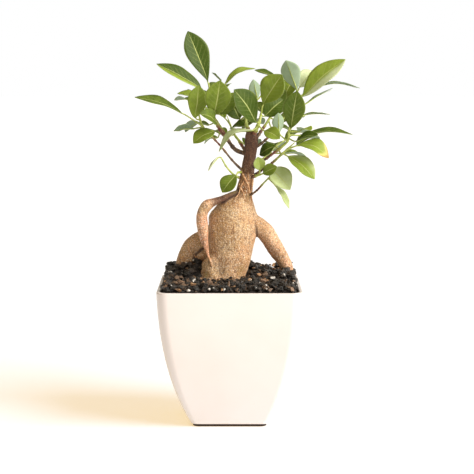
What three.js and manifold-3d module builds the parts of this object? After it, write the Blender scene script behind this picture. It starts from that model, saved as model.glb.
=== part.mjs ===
// A ficus ginseng bonsai in its glazed pot, in millimetres, Z up.
// The origin is the middle of the pot's foot on the surface it stands on, and the front looks along -Y.
import * as THREE from "three";
import { mergeVertices } from "three/addons/utils/BufferGeometryUtils.js";
import Module from "manifold-3d";

const wasm = await Module();
wasm.setup();

// Driving dimensions

const CLEARANCE = 0.3;

const POT_HEIGHT = 118;
const POT_HALF_TOP = 60.5;
const POT_HALF_BOTTOM = 33;
const POT_BELLY = [58, 50];
const POT_WALL = 3.4;
const POT_FLOOR = 7;
const POT_CORNER = 0.16;
const LIP_ROUND = 1.1;
const LIP_DROP = 1.6;
const SKIRT_ROUND = 0.6;
const FOOT_HEIGHT = 2.4;
const FOOT_HALF = 31.2;
const DRAIN_RADIUS = 4;
const DRAIN_OFFSET = 15;

const SOIL_EDGE = 116.2;
const SOIL_RIM = 4;
const SOIL_SLOPE = 0.05;
const SOIL_HEAP = 7;
const MOUND_HEIGHT = 8;
const MOUND_PLACE = [-5, 5];
const MOUND_REACH = [28, 52];
const MOUND_FRONT = [-18, 8];
const MOUND_RIGHT = [10, 28];
const MOUND_RIGHT_DROP = 0.4;
const PILE_HEIGHT = 7;
const PILE_PLACE = [-27, 1];
const PILE_SIZE = [10, 9];
const BANK_HEIGHT = 2.5;
const BANK_SIDES = [36, 50];
const BANK_FRONT = [-40, -10];
const GRAIN = 1.1;
const CHIP_COUNT = 46;
const CHIP_SIZE = 5.5;
const CHIP_SEED = 11;

const BLADE_THICKNESS = 0.8;
const PETIOLE_THICKNESS = 1.3;
const WIDEST = 0.526;
const LEAF_FOLD = 0.3;
const BUD_LENGTH = 8;
const BUD_TIP = 0.35;

// Helpers: a seeded random draw, smooth steps and vectors

function randomFrom(seed) {
  let state = seed;
  return () => {
    state = (state * 1664525 + 1013904223) % 4294967296;
    return state / 4294967296;
  };
}

function vec([x, y, z]) {
  return new THREE.Vector3(x, y, z);
}

function smooth(low, high, value) {
  return THREE.MathUtils.smoothstep(value, low, high);
}

// A value read along a list of evenly spaced values, without corners

function along(values, t) {
  const place = THREE.MathUtils.clamp(t, 0, 1) * (values.length - 1);
  const step = Math.min(Math.floor(place), values.length - 2);
  const part = place - step;
  const ease = part * part * (3 - 2 * part) * 0.5 + part * 0.5;
  return values[step] + (values[step + 1] - values[step]) * ease;
}

// Helpers: from a three.js geometry to a solid, and back to a mesh

function solid(geometry) {
  const bare = geometry.clone();
  bare.deleteAttribute("normal");
  bare.deleteAttribute("uv");
  const merged = mergeVertices(bare, 1e-4);
  const corners = merged.index.array;
  const triangles = [];
  for (let k = 0; k < corners.length; k += 3) {
    const [a, b, c] = corners.slice(k, k + 3);
    if (a !== b && b !== c && c !== a) {
      triangles.push(a, b, c);
    }
  }
  const body = new wasm.Manifold(new wasm.Mesh({
    numProp: 3,
    vertProperties: new Float32Array(merged.attributes.position.array),
    triVerts: new Uint32Array(triangles),
  }));
  if (body.status() !== "NoError" || body.volume() <= 0) {
    throw new Error(`not a closed body: ${body.status()} ${body.volume()}`);
  }
  return body;
}

function union(bodies) {
  return bodies.reduce((whole, body) => whole.add(body));
}

// Fusing can seal a small hollow or leave a loose scrap. The largest piece alone is kept, without either.

function largest(body) {
  const pieces = body.decompose();
  return pieces.reduce((best, piece) => (piece.volume() > best.volume() ? piece : best));
}

function asMesh(name, body, look) {
  const mesh = body.getMesh();
  const geometry = new THREE.BufferGeometry();
  geometry.setAttribute("position", new THREE.BufferAttribute(new Float32Array(mesh.vertProperties), 3));
  geometry.setIndex(new THREE.BufferAttribute(new Uint32Array(mesh.triVerts), 1));
  geometry.computeVertexNormals();
  const made = new THREE.Mesh(geometry, look);
  made.name = name;
  return made;
}

// Finishes

const glaze = new THREE.MeshStandardMaterial({ color: 0xf6efe2, roughness: 0.12, metalness: 0 });
const mix = new THREE.MeshStandardMaterial({ color: 0x2b2722, roughness: 0.95, metalness: 0 });
const bark = new THREE.MeshStandardMaterial({ color: 0xc29a66, roughness: 0.8, metalness: 0 });
const green = new THREE.MeshStandardMaterial({ color: 0x6f8f2c, roughness: 0.4, metalness: 0 });

// The rounded square that the pot and the soil share, as a lathe whose turns are moved onto it

const CORNER_STEPS = 4;
const SIDE_STEPS = 3;
const QUARTER_STEPS = CORNER_STEPS + SIDE_STEPS;
const TURNS = 4 * QUARTER_STEPS;

function squarePoint(turn, half) {
  const corner = half * POT_CORNER;
  const quarter = Math.floor(turn / QUARTER_STEPS);
  const step = turn % QUARTER_STEPS;
  const flat = half - corner;
  let x = half;
  let y = -flat + (2 * flat * (step - CORNER_STEPS)) / SIDE_STEPS;
  if (step <= CORNER_STEPS) {
    const angle = (Math.PI / 2) * (step / CORNER_STEPS - 1);
    x = flat + corner * Math.cos(angle);
    y = -flat + corner * Math.sin(angle);
  }
  const swing = (quarter * Math.PI) / 2;
  return [x * Math.cos(swing) - y * Math.sin(swing), x * Math.sin(swing) + y * Math.cos(swing)];
}

function squareLathe(profile, lift = () => 0) {
  const geometry = new THREE.LatheGeometry(profile, TURNS);
  const position = geometry.attributes.position;
  for (let i = 0; i < position.count; i += 1) {
    const turn = Math.floor(i / profile.length) % TURNS;
    const point = profile[i % profile.length];
    const [x, y] = squarePoint(turn, point.x);
    position.setXYZ(i, x, y, point.y + lift(x, y, i % profile.length));
  }
  return solid(geometry);
}

// Pot: a white glazed square pot with swelling sides, a thin rounded lip and an inset bare foot

const OUTSIDE_STEPS = 8;
const INSIDE_STEPS = 4;

function potWall(inset, steps) {
  const curve = new THREE.QuadraticBezierCurve(
    new THREE.Vector2(POT_HALF_BOTTOM - inset, FOOT_HEIGHT + SKIRT_ROUND + inset),
    new THREE.Vector2(POT_BELLY[0] - inset, POT_BELLY[1]),
    new THREE.Vector2(POT_HALF_TOP - inset, POT_HEIGHT - LIP_DROP),
  );
  return curve.getPoints(steps);
}

function makePot() {
  const inside = potWall(POT_WALL, INSIDE_STEPS).reverse();
  const lip = POT_HALF_TOP - POT_WALL;
  const profile = [
    new THREE.Vector2(0, 0),
    new THREE.Vector2(FOOT_HALF - 0.8, 0),
    new THREE.Vector2(FOOT_HALF, 0.8),
    new THREE.Vector2(FOOT_HALF, FOOT_HEIGHT),
    new THREE.Vector2(POT_HALF_BOTTOM - 2 * SKIRT_ROUND, FOOT_HEIGHT),
    ...potWall(0, OUTSIDE_STEPS),
    new THREE.Vector2(POT_HALF_TOP - 0.3 * LIP_ROUND, POT_HEIGHT - 0.45 * LIP_ROUND),
    new THREE.Vector2(POT_HALF_TOP - LIP_ROUND, POT_HEIGHT),
    new THREE.Vector2(lip + LIP_ROUND, POT_HEIGHT),
    new THREE.Vector2(lip + 0.3 * LIP_ROUND, POT_HEIGHT - 0.45 * LIP_ROUND),
    ...inside.slice(0, -1),
    new THREE.Vector2(POT_HALF_BOTTOM - POT_WALL - 3, POT_FLOOR),
    new THREE.Vector2(0, POT_FLOOR),
  ];
  let pot = squareLathe(profile);
  for (const [x, y] of [[1, 1], [1, -1], [-1, 1], [-1, -1]]) {
    const drain = new THREE.CylinderGeometry(DRAIN_RADIUS, DRAIN_RADIUS, 3 * POT_FLOOR, 12);
    drain.rotateX(Math.PI / 2);
    drain.translate(x * DRAIN_OFFSET, y * DRAIN_OFFSET, POT_FLOOR / 2);
    pot = pot.subtract(solid(drain));
  }
  return pot;
}

// Wood: the swollen root body and trunk, its thick roots, and the brown part of every twig.
// Each level of the column: height, middle in X and Y, half width and half depth.

const COLUMN = [
  [92, -3, 2, 5, 5],
  [99, -4.4, 2, 12, 11],
  [108, -5.6, 1, 15.6, 14],
  [118, -5.6, 0, 17.2, 15.5],
  [128, -3, 0, 17.3, 16],
  [138, -0.6, 0, 17.9, 16.5],
  [148, 0.4, 0, 18.9, 17],
  [158, 1.2, 0, 20, 17.5],
  [167, 1.8, 0, 21, 17.5],
  [175, 2.3, 0, 20.9, 17],
  [181, 3.8, 0, 18.2, 15.6],
  [186, 5, 0, 15.8, 13.8],
  [190.5, 6.3, 0, 13.3, 11.6],
  [194.5, 10.6, 0, 9, 8.8],
  [198, 12.5, 0, 7.2, 7.4],
  [203, 13.2, 0, 6.7, 6.7],
  [211, 14.7, 0, 6.3, 6.3],
  [220, 15.8, 0, 5.3, 5.5],
  [229, 17.4, 0, 5.3, 5.4],
  [238, 18.6, 0, 6, 5.8],
  [244, 18.4, 0, 5.4, 5.4],
  [248, 17.8, 0, 3.4, 3.6],
  [249, 17.6, 0, 1.2, 1.4],
];
const COLUMN_SIDES = 18;
const FLUTES = 0.034;
const KNOBS = 0.05;

function makeColumn(grow) {
  const steps = COLUMN.length - 1;
  const geometry = new THREE.CylinderGeometry(1, 1, 1, COLUMN_SIDES, steps);
  const position = geometry.attributes.position;
  for (let i = 0; i < position.count; i += 1) {
    const x = position.getX(i);
    const y = position.getY(i);
    const z = position.getZ(i);
    const level = Math.round((y + 0.5) * steps);
    const [height, middleX, middleY, halfX, halfY] = COLUMN[level];
    const angle = Math.atan2(z, x);
    const reach = Math.hypot(x, z);
    const flutes = 1 + FLUTES * (Math.sin(3 * angle + height * 0.05) + 0.6 * Math.sin(5 * angle + 1));
    const ends = level === 0 ? -grow : level === steps ? grow : 0;
    position.setXYZ(
      i,
      middleX + reach * Math.cos(angle) * (halfX * flutes + grow),
      middleY - reach * Math.sin(angle) * (halfY * flutes + grow),
      height + ends,
    );
  }
  return solid(geometry);
}

// A limb: a tube along a curve, thinning as its list of radii says. It covers from..to of the curve.

function steadySide(curve, from, to) {
  const axes = [new THREE.Vector3(1, 0, 0), new THREE.Vector3(0, 1, 0), new THREE.Vector3(0, 0, 1)];
  const worst = axes.map((axis) => {
    let most = 0;
    for (let k = 0; k <= 12; k += 1) {
      most = Math.max(most, Math.abs(curve.getTangent(from + ((to - from) * k) / 12).dot(axis)));
    }
    return most;
  });
  return axes[worst.indexOf(Math.min(...worst))];
}

function bend(points) {
  return new THREE.CatmullRomCurve3(points, false, "centripetal");
}

function limb(curve, radii, { sides = 10, steps = 12, from = 0, to = 1, grow = 0, knobs = 0 } = {}) {
  const side = steadySide(curve, from, to);
  const geometry = new THREE.CylinderGeometry(1, 1, 1, sides, steps);
  const position = geometry.attributes.position;
  for (let i = 0; i < position.count; i += 1) {
    const x = position.getX(i);
    const z = position.getZ(i);
    const along01 = position.getY(i) + 0.5;
    const t = from + (to - from) * along01;
    const ahead = curve.getTangent(t);
    const out = side.clone().addScaledVector(ahead, -side.dot(ahead)).normalize();
    const across = out.clone().cross(ahead);
    const angle = Math.atan2(z, x);
    const bump = 1 + knobs * Math.sin(2 * angle + 9 * t) + 0.6 * knobs * Math.sin(3 * angle - 23 * t);
    const radius = along(radii, t) * bump + grow;
    const place = curve.getPoint(t);
    place.addScaledVector(out, x * radius);
    place.addScaledVector(across, z * radius);
    const cap = along01 === 0 ? -grow : along01 === 1 ? grow : 0;
    place.addScaledVector(ahead, cap);
    position.setXYZ(i, place.x, place.y, place.z);
  }
  return solid(geometry);
}

// Thick roots, from the body down into the soil, and thin pale ones that hang on the neck

const ROOTS = [
  {
    // the root that arches off the left shoulder and comes down in front
    points: [[7, -5, 197.5], [0, -8, 195], [-7, -9.5, 191.4], [-12.8, -11, 189.2], [-19, -12.3, 186.2],
      [-23.3, -13.5, 178.5], [-23.1, -14, 169], [-22.2, -14, 162], [-21.2, -14, 155.5],
      [-19.6, -14.5, 149.5], [-18.4, -15, 144.5], [-15.5, -14.5, 135.5]],
    radii: [1.6, 2, 2.7, 3.5, 4.8, 4.4, 4.8, 4.3, 3.4, 2.1, 1.4, 1.1],
    steps: 15,
  },
  {
    // the prop root on the right, which stands clear of the body
    points: [[10, 1, 174], [21, 2, 170], [28.8, 4, 163.5], [35.4, 7, 154], [41.4, 10, 144.5],
      [47, 13, 135], [50.4, 15, 126], [50.2, 16, 116], [46, 16, 104], [40, 15, 94]],
    radii: [7.8, 7.9, 7.8, 7.2, 6.6, 5.8, 5, 4.3, 3, 1.4],
    steps: 14,
  },
  {
    // the broad rear root on the left
    points: [[-2, 7, 162], [-16, 12, 157], [-29, 15, 149], [-36.2, 15, 139.5], [-40.6, 15, 129],
      [-42.4, 14, 117], [-41.5, 12, 104], [-38, 10, 93]],
    radii: [9, 10.5, 10.1, 8, 7, 6, 4.4, 1.8],
    steps: 12,
    sides: 10,
  },
  {
    // the lower part between the rear root and the body
    points: [[-6, 8, 152], [-16, 10, 145], [-24, 11, 136], [-27, 11, 124], [-27, 10, 110]],
    radii: [8, 7.5, 7, 5.5, 3],
    steps: 6,
    sides: 8,
  },
  {
    // the rear leg, straight behind the body
    points: [[2, 6, 156], [4, 15, 146], [6, 24, 133], [7, 30, 119], [7, 33, 104], [6, 34, 94]],
    radii: [9, 9.4, 8, 6.4, 4, 1.6],
    steps: 9,
    sides: 9,
  },
  {
    // the low foot at the front left
    points: [[-6.5, -1, 150], [-9.5, -3, 140], [-12.5, -4.5, 130], [-16.5, -6.5, 119], [-19, -7.5, 103]],
    radii: [8, 10.5, 12, 10.8, 6],
    steps: 8,
    sides: 8,
  },
  {
    // a buried root to the front right
    points: [[0, -3, 116], [8, -12, 110], [17, -22, 103], [25, -31, 95]],
    radii: [8, 6.5, 4, 1.4],
    steps: 8,
    sides: 8,
  },
];

const STRANDS = [
  { points: [[10, -4, 215], [12.6, -6.3, 209], [15.6, -6.4, 203], [17, -6.2, 196]],
    radii: [1, 1.3, 1.2, 1.2] },
  { points: [[8.2, -3, 204], [10.4, -6, 199], [13.8, -7.4, 194.5], [16, -7, 189]],
    radii: [1, 1.2, 1.2, 0.8] },
  { points: [[19.6, -3.6, 212], [19.4, -4.6, 205], [18.6, -5.2, 198.5]], radii: [1.1, 1.3, 0.9] },
];

// Shoots. A stem runs from inside the wood to its tip: it is brown up to "green", and green beyond.
// Each leaf is [place on the stem, foot of the blade, tip, width, way its upper face looks, arch]. A seventh
// number, where a leaf has one, is the share of its length at which the blade is widest.

const SHOOTS = [
  {
    name: "left_shoot",
    stem: [[12, -2, 214], [3, -7, 223], [-8, -10, 236.5], [-16, -11, 245], [-23, -12, 253],
      [-26, -11, 263]],
    radii: [1.3, 0.9, 0.75, 0.8, 1, 0.7],
    green: 0.66,
    leaves: [
      [0.8, [-40, -15, 264], [-79, -23, 277], 19, [0.2, -0.4, 1], 2.5],
      [0.9, [-28.5, -13, 259.5], [-26, -13, 287], 17, [0.1, -1, 0.2], 2, 0.56],
      [1, [-24, -9, 282], [-61, -14, 305], 18, [0.35, -0.7, 0.9], 2],
      [0.78, [-30, -14, 251], [-47, -17, 249], 12, [-0.1, 0.5, 0.9], 1],
      [0.72, [-13.5, -15, 248.5], [-30.5, -22, 239], 16, [-0.3, -0.75, 0.65], 2],
    ],
  },
  {
    name: "upper_left_shoot",
    stem: [[14, 0, 229], [5, 2, 232.5], [-2, 3, 241], [-8, 4, 249], [-13, 5, 258], [-16, 6, 268],
      [-17, 8, 281]],
    radii: [2.1, 1.75, 1.45, 1.3, 1.15, 1, 0.7],
    green: 0.66,
    leaves: [
      [0.97, [-18.5, 3, 290], [-35.5, 5, 332.5], 21.5, [0.35, -1, 0.1], 1, 0.6],
      [0.74, [-13.5, -12, 261.5], [-8, -27, 291], 23, [0.2, -1, 0.3], 3, 0.6],
      [0.78, [-8, -2, 263], [4, -4, 281], 14, [0.35, -1, 0.4], 1],
      [0.75, [-11.6, -16, 256], [-24.2, -33, 263.6], 14.5, [0.05, -0.9, 0.6], 2.5],
      [1, [-4.5, 11, 288], [22, 17, 301.5], 12, [0, -0.3, 1], 4],
      [0.92, [-7.5, 17, 290.3], [-15.1, 30, 298], 5, [0.7, 0.1, 0.7], 0.5],
    ],
  },
  {
    name: "rear_left_shoot",
    stem: [[0, 3, 239], [-4, 9, 245], [-9, 16, 253], [-14, 24, 261], [-17, 31, 271]],
    radii: [1.2, 1.1, 1, 0.9, 0.7],
    green: 0.4,
    leaves: [
      [0.72, [-27, 18, 273.5], [-45, 16, 279.8], 15, [0, -0.35, 1], 2],
      [0.8, [-26, 36, 266], [-49, 56, 273.5], 18, [-0.1, 0.1, 1], 5],
      [0.92, [-22, 40, 275], [-36, 64, 281], 16, [0.1, -0.15, 1], 3],
      [0.96, [-13, 42, 277], [-4, 74, 287], 20, [0, -0.3, 1], 4],
      [0.6, [-18, 26, 253], [-39, 42, 246], 18, [-0.2, 0.2, 1], 5],
      [0.46, [-10, 11.5, 243], [-22, 17, 237], 10, [0, -0.3, 1], 2],
    ],
  },
  {
    name: "centre_shoot",
    stem: [[18, -1, 240], [21.6, -4, 248.5], [24.6, -6, 255], [26.6, -5, 264]],
    radii: [2.4, 1.9, 1.4, 0.8],
    green: 0.4,
    leaves: [
      [0.72, [22.5, -9, 256], [3.5, -23, 283.5], 24, [0.4, -1, 0.5], 2, 0.58],
      [0.86, [28, -9, 270.5], [43.5, -20, 296], 23, [-0.15, -1, 0.3], 2, 0.6],
      [0.94, [29.5, 1, 261], [46, 8, 275], 19, [0.2, -0.9, 0.55], 2],
      [0.55, [20, -12, 250], [-9, -19, 231.5], 14, [-0.6, -0.3, 0.85], 7],
      [0.6, [29, -11, 249], [42, -19, 242.5], 13, [0.1, -0.9, 0.5], 2],
    ],
  },
  {
    name: "upper_centre_shoot",
    stem: [[17, 2, 241], [15.6, 7, 249.5], [14, 10, 256], [15, 13, 265]],
    radii: [2.2, 1.7, 1.2, 0.75],
    green: 0.42,
    leaves: [
      [0.75, [13, 9, 264], [0.5, 13, 280], 15, [0.3, -0.9, 0.6], 2],
      [0.6, [13, 12, 252.5], [1, 22, 249], 14, [-0.1, -0.5, 0.9], 2],
      [0.92, [23, 13, 275], [20, 12, 292], 11, [0.3, -1, 0.2], 1],
      [1, [38, 20, 293.5], [21.5, 24, 300.5], 12, [0, -0.35, 1], 0.5],
      [0.85, [9, 20, 258], [0, 26, 272.5], 18, [0.1, -1, 0.3], 2],
    ],
  },
  {
    name: "upper_right_shoot",
    stem: [[20, 2, 233], [28, 5, 238.5], [36, 8, 246], [44, 11, 256], [51, 13, 267], [56, 14, 277]],
    radii: [1.4, 1.1, 0.9, 0.9, 1, 0.7],
    green: 0.52,
    leaves: [
      [0.94, [57, 8, 282.5], [47.5, 0, 308], 17, [0.1, 1, 0.35], 2, 0.58],
      [0.98, [62, 11, 277.5], [99, 14, 309], 21, [-0.35, -0.9, 0.55], 3],
      [0.99, [60, 21, 285], [71, 30, 300], 15, [0.3, -0.8, 0.4], 2],
      [0.9, [70, 22, 283.5], [113, 33, 284.5], 10, [0, -0.05, 1], 5],
      [0.82, [64, 17, 271], [89, 24, 284], 6, [-0.4, -0.02, 1], 1],
      [0.74, [46, 22, 270], [35, 41, 285], 18, [0.2, -0.6, 0.8], 3],
    ],
  },
  {
    name: "right_shoot",
    stem: [[16, -2, 216], [27, -5, 222.5], [35, -7, 228.5], [43, -9, 234.5], [49, -10, 241],
      [50, -10, 250]],
    radii: [1.7, 1.2, 1.05, 1, 1, 0.8],
    green: 0.62,
    leaves: [
      [0.95, [51, -17, 251], [55.5, -33, 282.5], 19.5, [0, -1, 0.35], 3, 0.6],
      [0.78, [42, -8, 246.5], [41, -10, 264], 11, [-0.3, 1, 0.1], 1],
      [0.9, [62, -7, 245], [104, -5, 246], 16, [0, -0.25, 1], 3],
      [0.84, [55, -17, 240.5], [73.5, -30, 245.5], 13, [0.1, -0.6, 0.85], 2],
      [0.96, [57, -14, 248.5], [67, -36, 250], 12, [0.1, -0.35, 1], 2],
      [0.98, [62, 0, 261.5], [86, 12, 262], 8, [0, -0.04, 1], 1.5],
    ],
  },
  {
    name: "drooping_shoot",
    stem: [[17, 2, 208], [27, 0, 215], [36, -3, 221.5], [42.5, -5, 227.5], [49, -6, 233.5]],
    radii: [1.5, 1.1, 1, 0.95, 0.75],
    green: 0.66,
    leaves: [
      [1, [58, -8, 236.5], [83, -15, 226], 18, [0.2, -0.65, 0.8], 6],
      [0.84, [49, -9, 227.5], [71, -19, 208.5], 18.5, [0.35, -0.75, 0.6], 3],
      [0.8, [39, 3, 235], [26, 9, 227.5], 13, [0.1, -0.7, 0.6], 2],
      [0.96, [57, 5, 236], [78, 26, 240], 16, [0, -0.1, 1], 4],
    ],
  },
  {
    name: "low_right_shoot",
    stem: [[15, -4, 193], [22, -7, 197.5], [29.5, -8, 205.5], [35, -7.5, 211]],
    radii: [1.1, 0.8, 0.7, 0.6],
    green: 0.6,
    leaves: [
      [1, [36, -7.5, 214.5], [50.8, -14, 199.3], 20.5, [0.25, -0.9, 0.45], 2.5, 0.43],
      [0.86, [38.5, -9, 203], [50.5, -8, 183], 7, [0.6, -0.7, 0.2], 2],
    ],
  },
  {
    name: "trunk_side_shoot",
    stem: [[17, -3, 209], [21.5, -6, 210.5], [26, -8, 212]],
    radii: [1.4, 1.2, 0.85],
    green: 0.62,
    bud: 4,
    leaves: [
      [1, [28, -11, 213], [40, -16, 219], 11, [0.1, -0.9, 0.4], 1],
      [0.85, [25.5, -9, 215.5], [23.5, -11, 227], 11, [0.2, -1, 0.2], 1],
    ],
  },
  {
    name: "low_left_leaf",
    stem: [[12, -2, 213], [9, -6, 213.8], [7, -9, 213.8]],
    radii: [1.3, 1.1, 0.85],
    green: 0.5,
    bud: 1.5,
    leaves: [
      [0.95, [5.2, -11.5, 211.6], [-6.2, -15, 197.2], 15, [-0.25, -1, 0.35], 2],
    ],
  },
  {
    name: "pale_side_leaf",
    stem: [[11, -1, 208.5], [7, -5, 209.5], [2, -8, 213], [-3.5, -10, 219.5]],
    radii: [1.1, 0.95, 0.8, 0.7],
    green: 0.34,
    bud: 1.5,
    leaves: [
      [0.98, [-8.5, -11, 227], [-18, -17, 215.5], 6, [-0.85, -0.2, 0.5], 1],
    ],
  },
  {
    name: "rear_right_shoot",
    stem: [[19, 3, 236], [25, 14, 245], [31, 25, 253], [36, 33, 261], [38, 39, 270]],
    radii: [1.6, 1.3, 1.1, 1, 0.7],
    green: 0.5,
    leaves: [
      [0.7, [44, 36, 254], [66, 60, 258], 18, [0.1, 0.05, 1], 5],
      [0.8, [31, 41, 262], [10, 66, 269], 20, [-0.1, 0.1, 1], 5],
      [0.9, [46, 43, 273], [62, 62, 294], 20, [-0.2, -0.5, 0.7], 4],
      [0.97, [35, 50, 276], [28, 81, 286], 20, [0, -0.2, 1], 5],
      [0.62, [37, 22, 250], [55, 26, 246], 14, [0.1, -0.2, 1], 3],
    ],
  },
  {
    name: "rear_shoot",
    stem: [[16, 3, 222], [13, 14, 231], [8, 25, 239], [3, 33, 246], [0, 39, 254]],
    radii: [1.6, 1.3, 1.1, 1, 0.7],
    green: 0.5,
    leaves: [
      [0.7, [-3, 40, 242], [-22, 67, 240], 20, [-0.1, 0.1, 1], 6],
      [0.85, [11, 43, 249], [30, 69, 252], 20, [0.1, 0.1, 1], 6],
      [0.96, [-4, 49, 258], [-20, 78, 265], 20, [-0.1, -0.1, 1], 5],
      [0.62, [13, 31, 236], [24, 52, 231], 17, [0.1, 0.1, 1], 5],
    ],
  },
  {
    name: "rear_low_shoot",
    stem: [[17, 2, 214], [24, 13, 220], [32, 24, 226], [39, 32, 233]],
    radii: [1.5, 1.2, 1.1, 0.7],
    green: 0.55,
    leaves: [
      [0.78, [45, 29, 228], [69, 38, 218], 18, [0.3, 0, 1], 5],
      [0.9, [38, 42, 233], [42, 69, 226], 19, [0, 0.2, 1], 6],
      [0.98, [48, 38, 239], [73, 56, 243], 19, [0.1, 0.1, 1], 5],
    ],
  },
];

// The stem's curve ends in the pointed bud, so a place along the stem is a little less along the curve

function stemCurve(shoot) {
  const stem = shoot.stem.map(vec);
  const tip = stem[stem.length - 1];
  const ahead = tip.clone().sub(stem[stem.length - 2]).normalize();
  const curve = bend([...stem, tip.clone().addScaledVector(ahead, shoot.bud ?? BUD_LENGTH)]);
  return { curve, radii: [...shoot.radii, BUD_TIP], scale: (stem.length - 1) / stem.length };
}

function twig(shoot, grow) {
  const { curve, radii, scale } = stemCurve(shoot);
  return limb(curve, radii, { sides: 5, steps: 4, to: shoot.green * scale, grow, knobs: KNOBS });
}

function makeWood(grow) {
  const bodies = [makeColumn(grow)];
  for (const root of ROOTS) {
    const shape = { sides: root.sides, steps: root.steps, grow, knobs: KNOBS };
    bodies.push(limb(bend(root.points.map(vec)), root.radii, shape));
  }
  for (const strand of STRANDS) {
    bodies.push(limb(bend(strand.points.map(vec)), strand.radii, { sides: 4, steps: 4, grow }));
  }
  for (const shoot of SHOOTS) {
    bodies.push(twig(shoot, grow));
  }
  return largest(union(bodies));
}

// Potting mix: fills the pot to the lip and is heaped round the wood, under chips of bark and lava.
// It is mounded round the body, piled up under the rear root and banked against the side walls.

function ground(x, y) {
  const inside = POT_HALF_TOP - POT_WALL - Math.max(Math.abs(x), Math.abs(y));
  const rim = smooth(0, SOIL_RIM, inside);
  const reach = Math.hypot(x - MOUND_PLACE[0], y - MOUND_PLACE[1]);
  const right = 1 - MOUND_RIGHT_DROP * smooth(...MOUND_RIGHT, x);
  const mound = MOUND_HEIGHT * (1 - smooth(...MOUND_REACH, reach)) * smooth(...MOUND_FRONT, y) * right;
  const pileX = (x - PILE_PLACE[0]) / PILE_SIZE[0];
  const pileY = (y - PILE_PLACE[1]) / PILE_SIZE[1];
  const pile = PILE_HEIGHT * Math.exp(-(pileX ** 2) - pileY ** 2);
  const bank = BANK_HEIGHT * smooth(...BANK_SIDES, Math.abs(x)) * smooth(...BANK_FRONT, y);
  const lumps = 1.3 * Math.sin(x * 0.41 + 1.3) * Math.cos(y * 0.37) + Math.sin(x * 0.23 - y * 0.29);
  return SOIL_EDGE + mound + pile + (SOIL_HEAP + SOIL_SLOPE * y + lumps + bank) * rim;
}

function makeSoil(wood) {
  const random = randomFrom(CHIP_SEED);
  const wall = potWall(POT_WALL + CLEARANCE, INSIDE_STEPS);
  const edge = wall[wall.length - 1].x;
  const rings = [0.95, 0.86, 0.74, 0.6, 0.45, 0.28, 0.12].map((part) => edge * part);
  const profile = [
    new THREE.Vector2(0, POT_FLOOR + CLEARANCE),
    new THREE.Vector2(POT_HALF_BOTTOM - POT_WALL - 4, POT_FLOOR + CLEARANCE),
    ...wall.slice(1),
  ];
  profile[profile.length - 1].set(edge, SOIL_EDGE);
  const first = profile.length;
  profile.push(...rings.map((half) => new THREE.Vector2(half, 0)), new THREE.Vector2(0, 0));
  const soil = squareLathe(profile, (x, y, place) => {
    if (place < first) {
      return 0;
    }
    const last = place === profile.length - 1;
    return ground(x, y) + (last ? 0 : GRAIN * Math.sin(x * 3.1 + y * 2.3));
  });
  const chips = [];
  const spread = edge - CHIP_SIZE;
  for (let i = 0; i < CHIP_COUNT; i += 1) {
    const x = (random() * 2 - 1) * spread;
    const y = (random() * 2 - 1) * spread;
    const chip = new THREE.OctahedronGeometry(1, 0);
    chip.scale(3 + 2.4 * random(), 2.4 + 1.8 * random(), 2.2 + 1.2 * random());
    chip.rotateX(Math.PI * random());
    chip.rotateZ(Math.PI * random());
    chip.translate(x, y, ground(x, y) + 0.5 + random());
    chips.push(solid(chip));
  }
  return largest(union([soil, ...chips]).subtract(wood));
}

// Leaves: petiole and blade are one folded sheet with two faces, thick enough to be a real solid

const BLADE_ROWS = [0, 0.11, 0.3, 0.52, 0.75, 0.92, 1];
const ROWS = BLADE_ROWS.length;
const COLUMNS = 2;
const NARROWEST = 0.5;

function bladeHalf(u, width, widest) {
  const bow = Math.sin(Math.PI * Math.pow(u, Math.log(0.5) / Math.log(widest)));
  return Math.max(NARROWEST, (width / 2) * Math.pow(Math.max(bow, 0), 0.84));
}

function thickSheet(place) {
  const sheet = new THREE.PlaneGeometry(1, 1, COLUMNS, ROWS);
  const count = sheet.attributes.position.count;
  const points = [];
  for (const side of [1, -1]) {
    for (let i = 0; i < count; i += 1) {
      const point = place(i % (COLUMNS + 1), Math.floor(i / (COLUMNS + 1)), side);
      points.push(point.x, point.y, point.z);
    }
  }
  const front = Array.from(sheet.index.array);
  const triangles = [...front];
  for (let k = 0; k < front.length; k += 3) {
    triangles.push(front[k] + count, front[k + 2] + count, front[k + 1] + count);
  }
  const edge = [];
  for (let c = 0; c < COLUMNS; c += 1) {
    edge.push(c);
  }
  for (let r = 0; r < ROWS; r += 1) {
    edge.push(COLUMNS + r * (COLUMNS + 1));
  }
  for (let c = COLUMNS; c > 0; c -= 1) {
    edge.push(ROWS * (COLUMNS + 1) + c);
  }
  for (let r = ROWS; r > 0; r -= 1) {
    edge.push(r * (COLUMNS + 1));
  }
  edge.forEach((here, k) => {
    const next = edge[(k + 1) % edge.length];
    triangles.push(here, next, here + count, next, next + count, here + count);
  });
  const geometry = new THREE.BufferGeometry();
  geometry.setAttribute("position", new THREE.BufferAttribute(new Float32Array(points), 3));
  geometry.setIndex(triangles);
  return solid(geometry);
}

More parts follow.
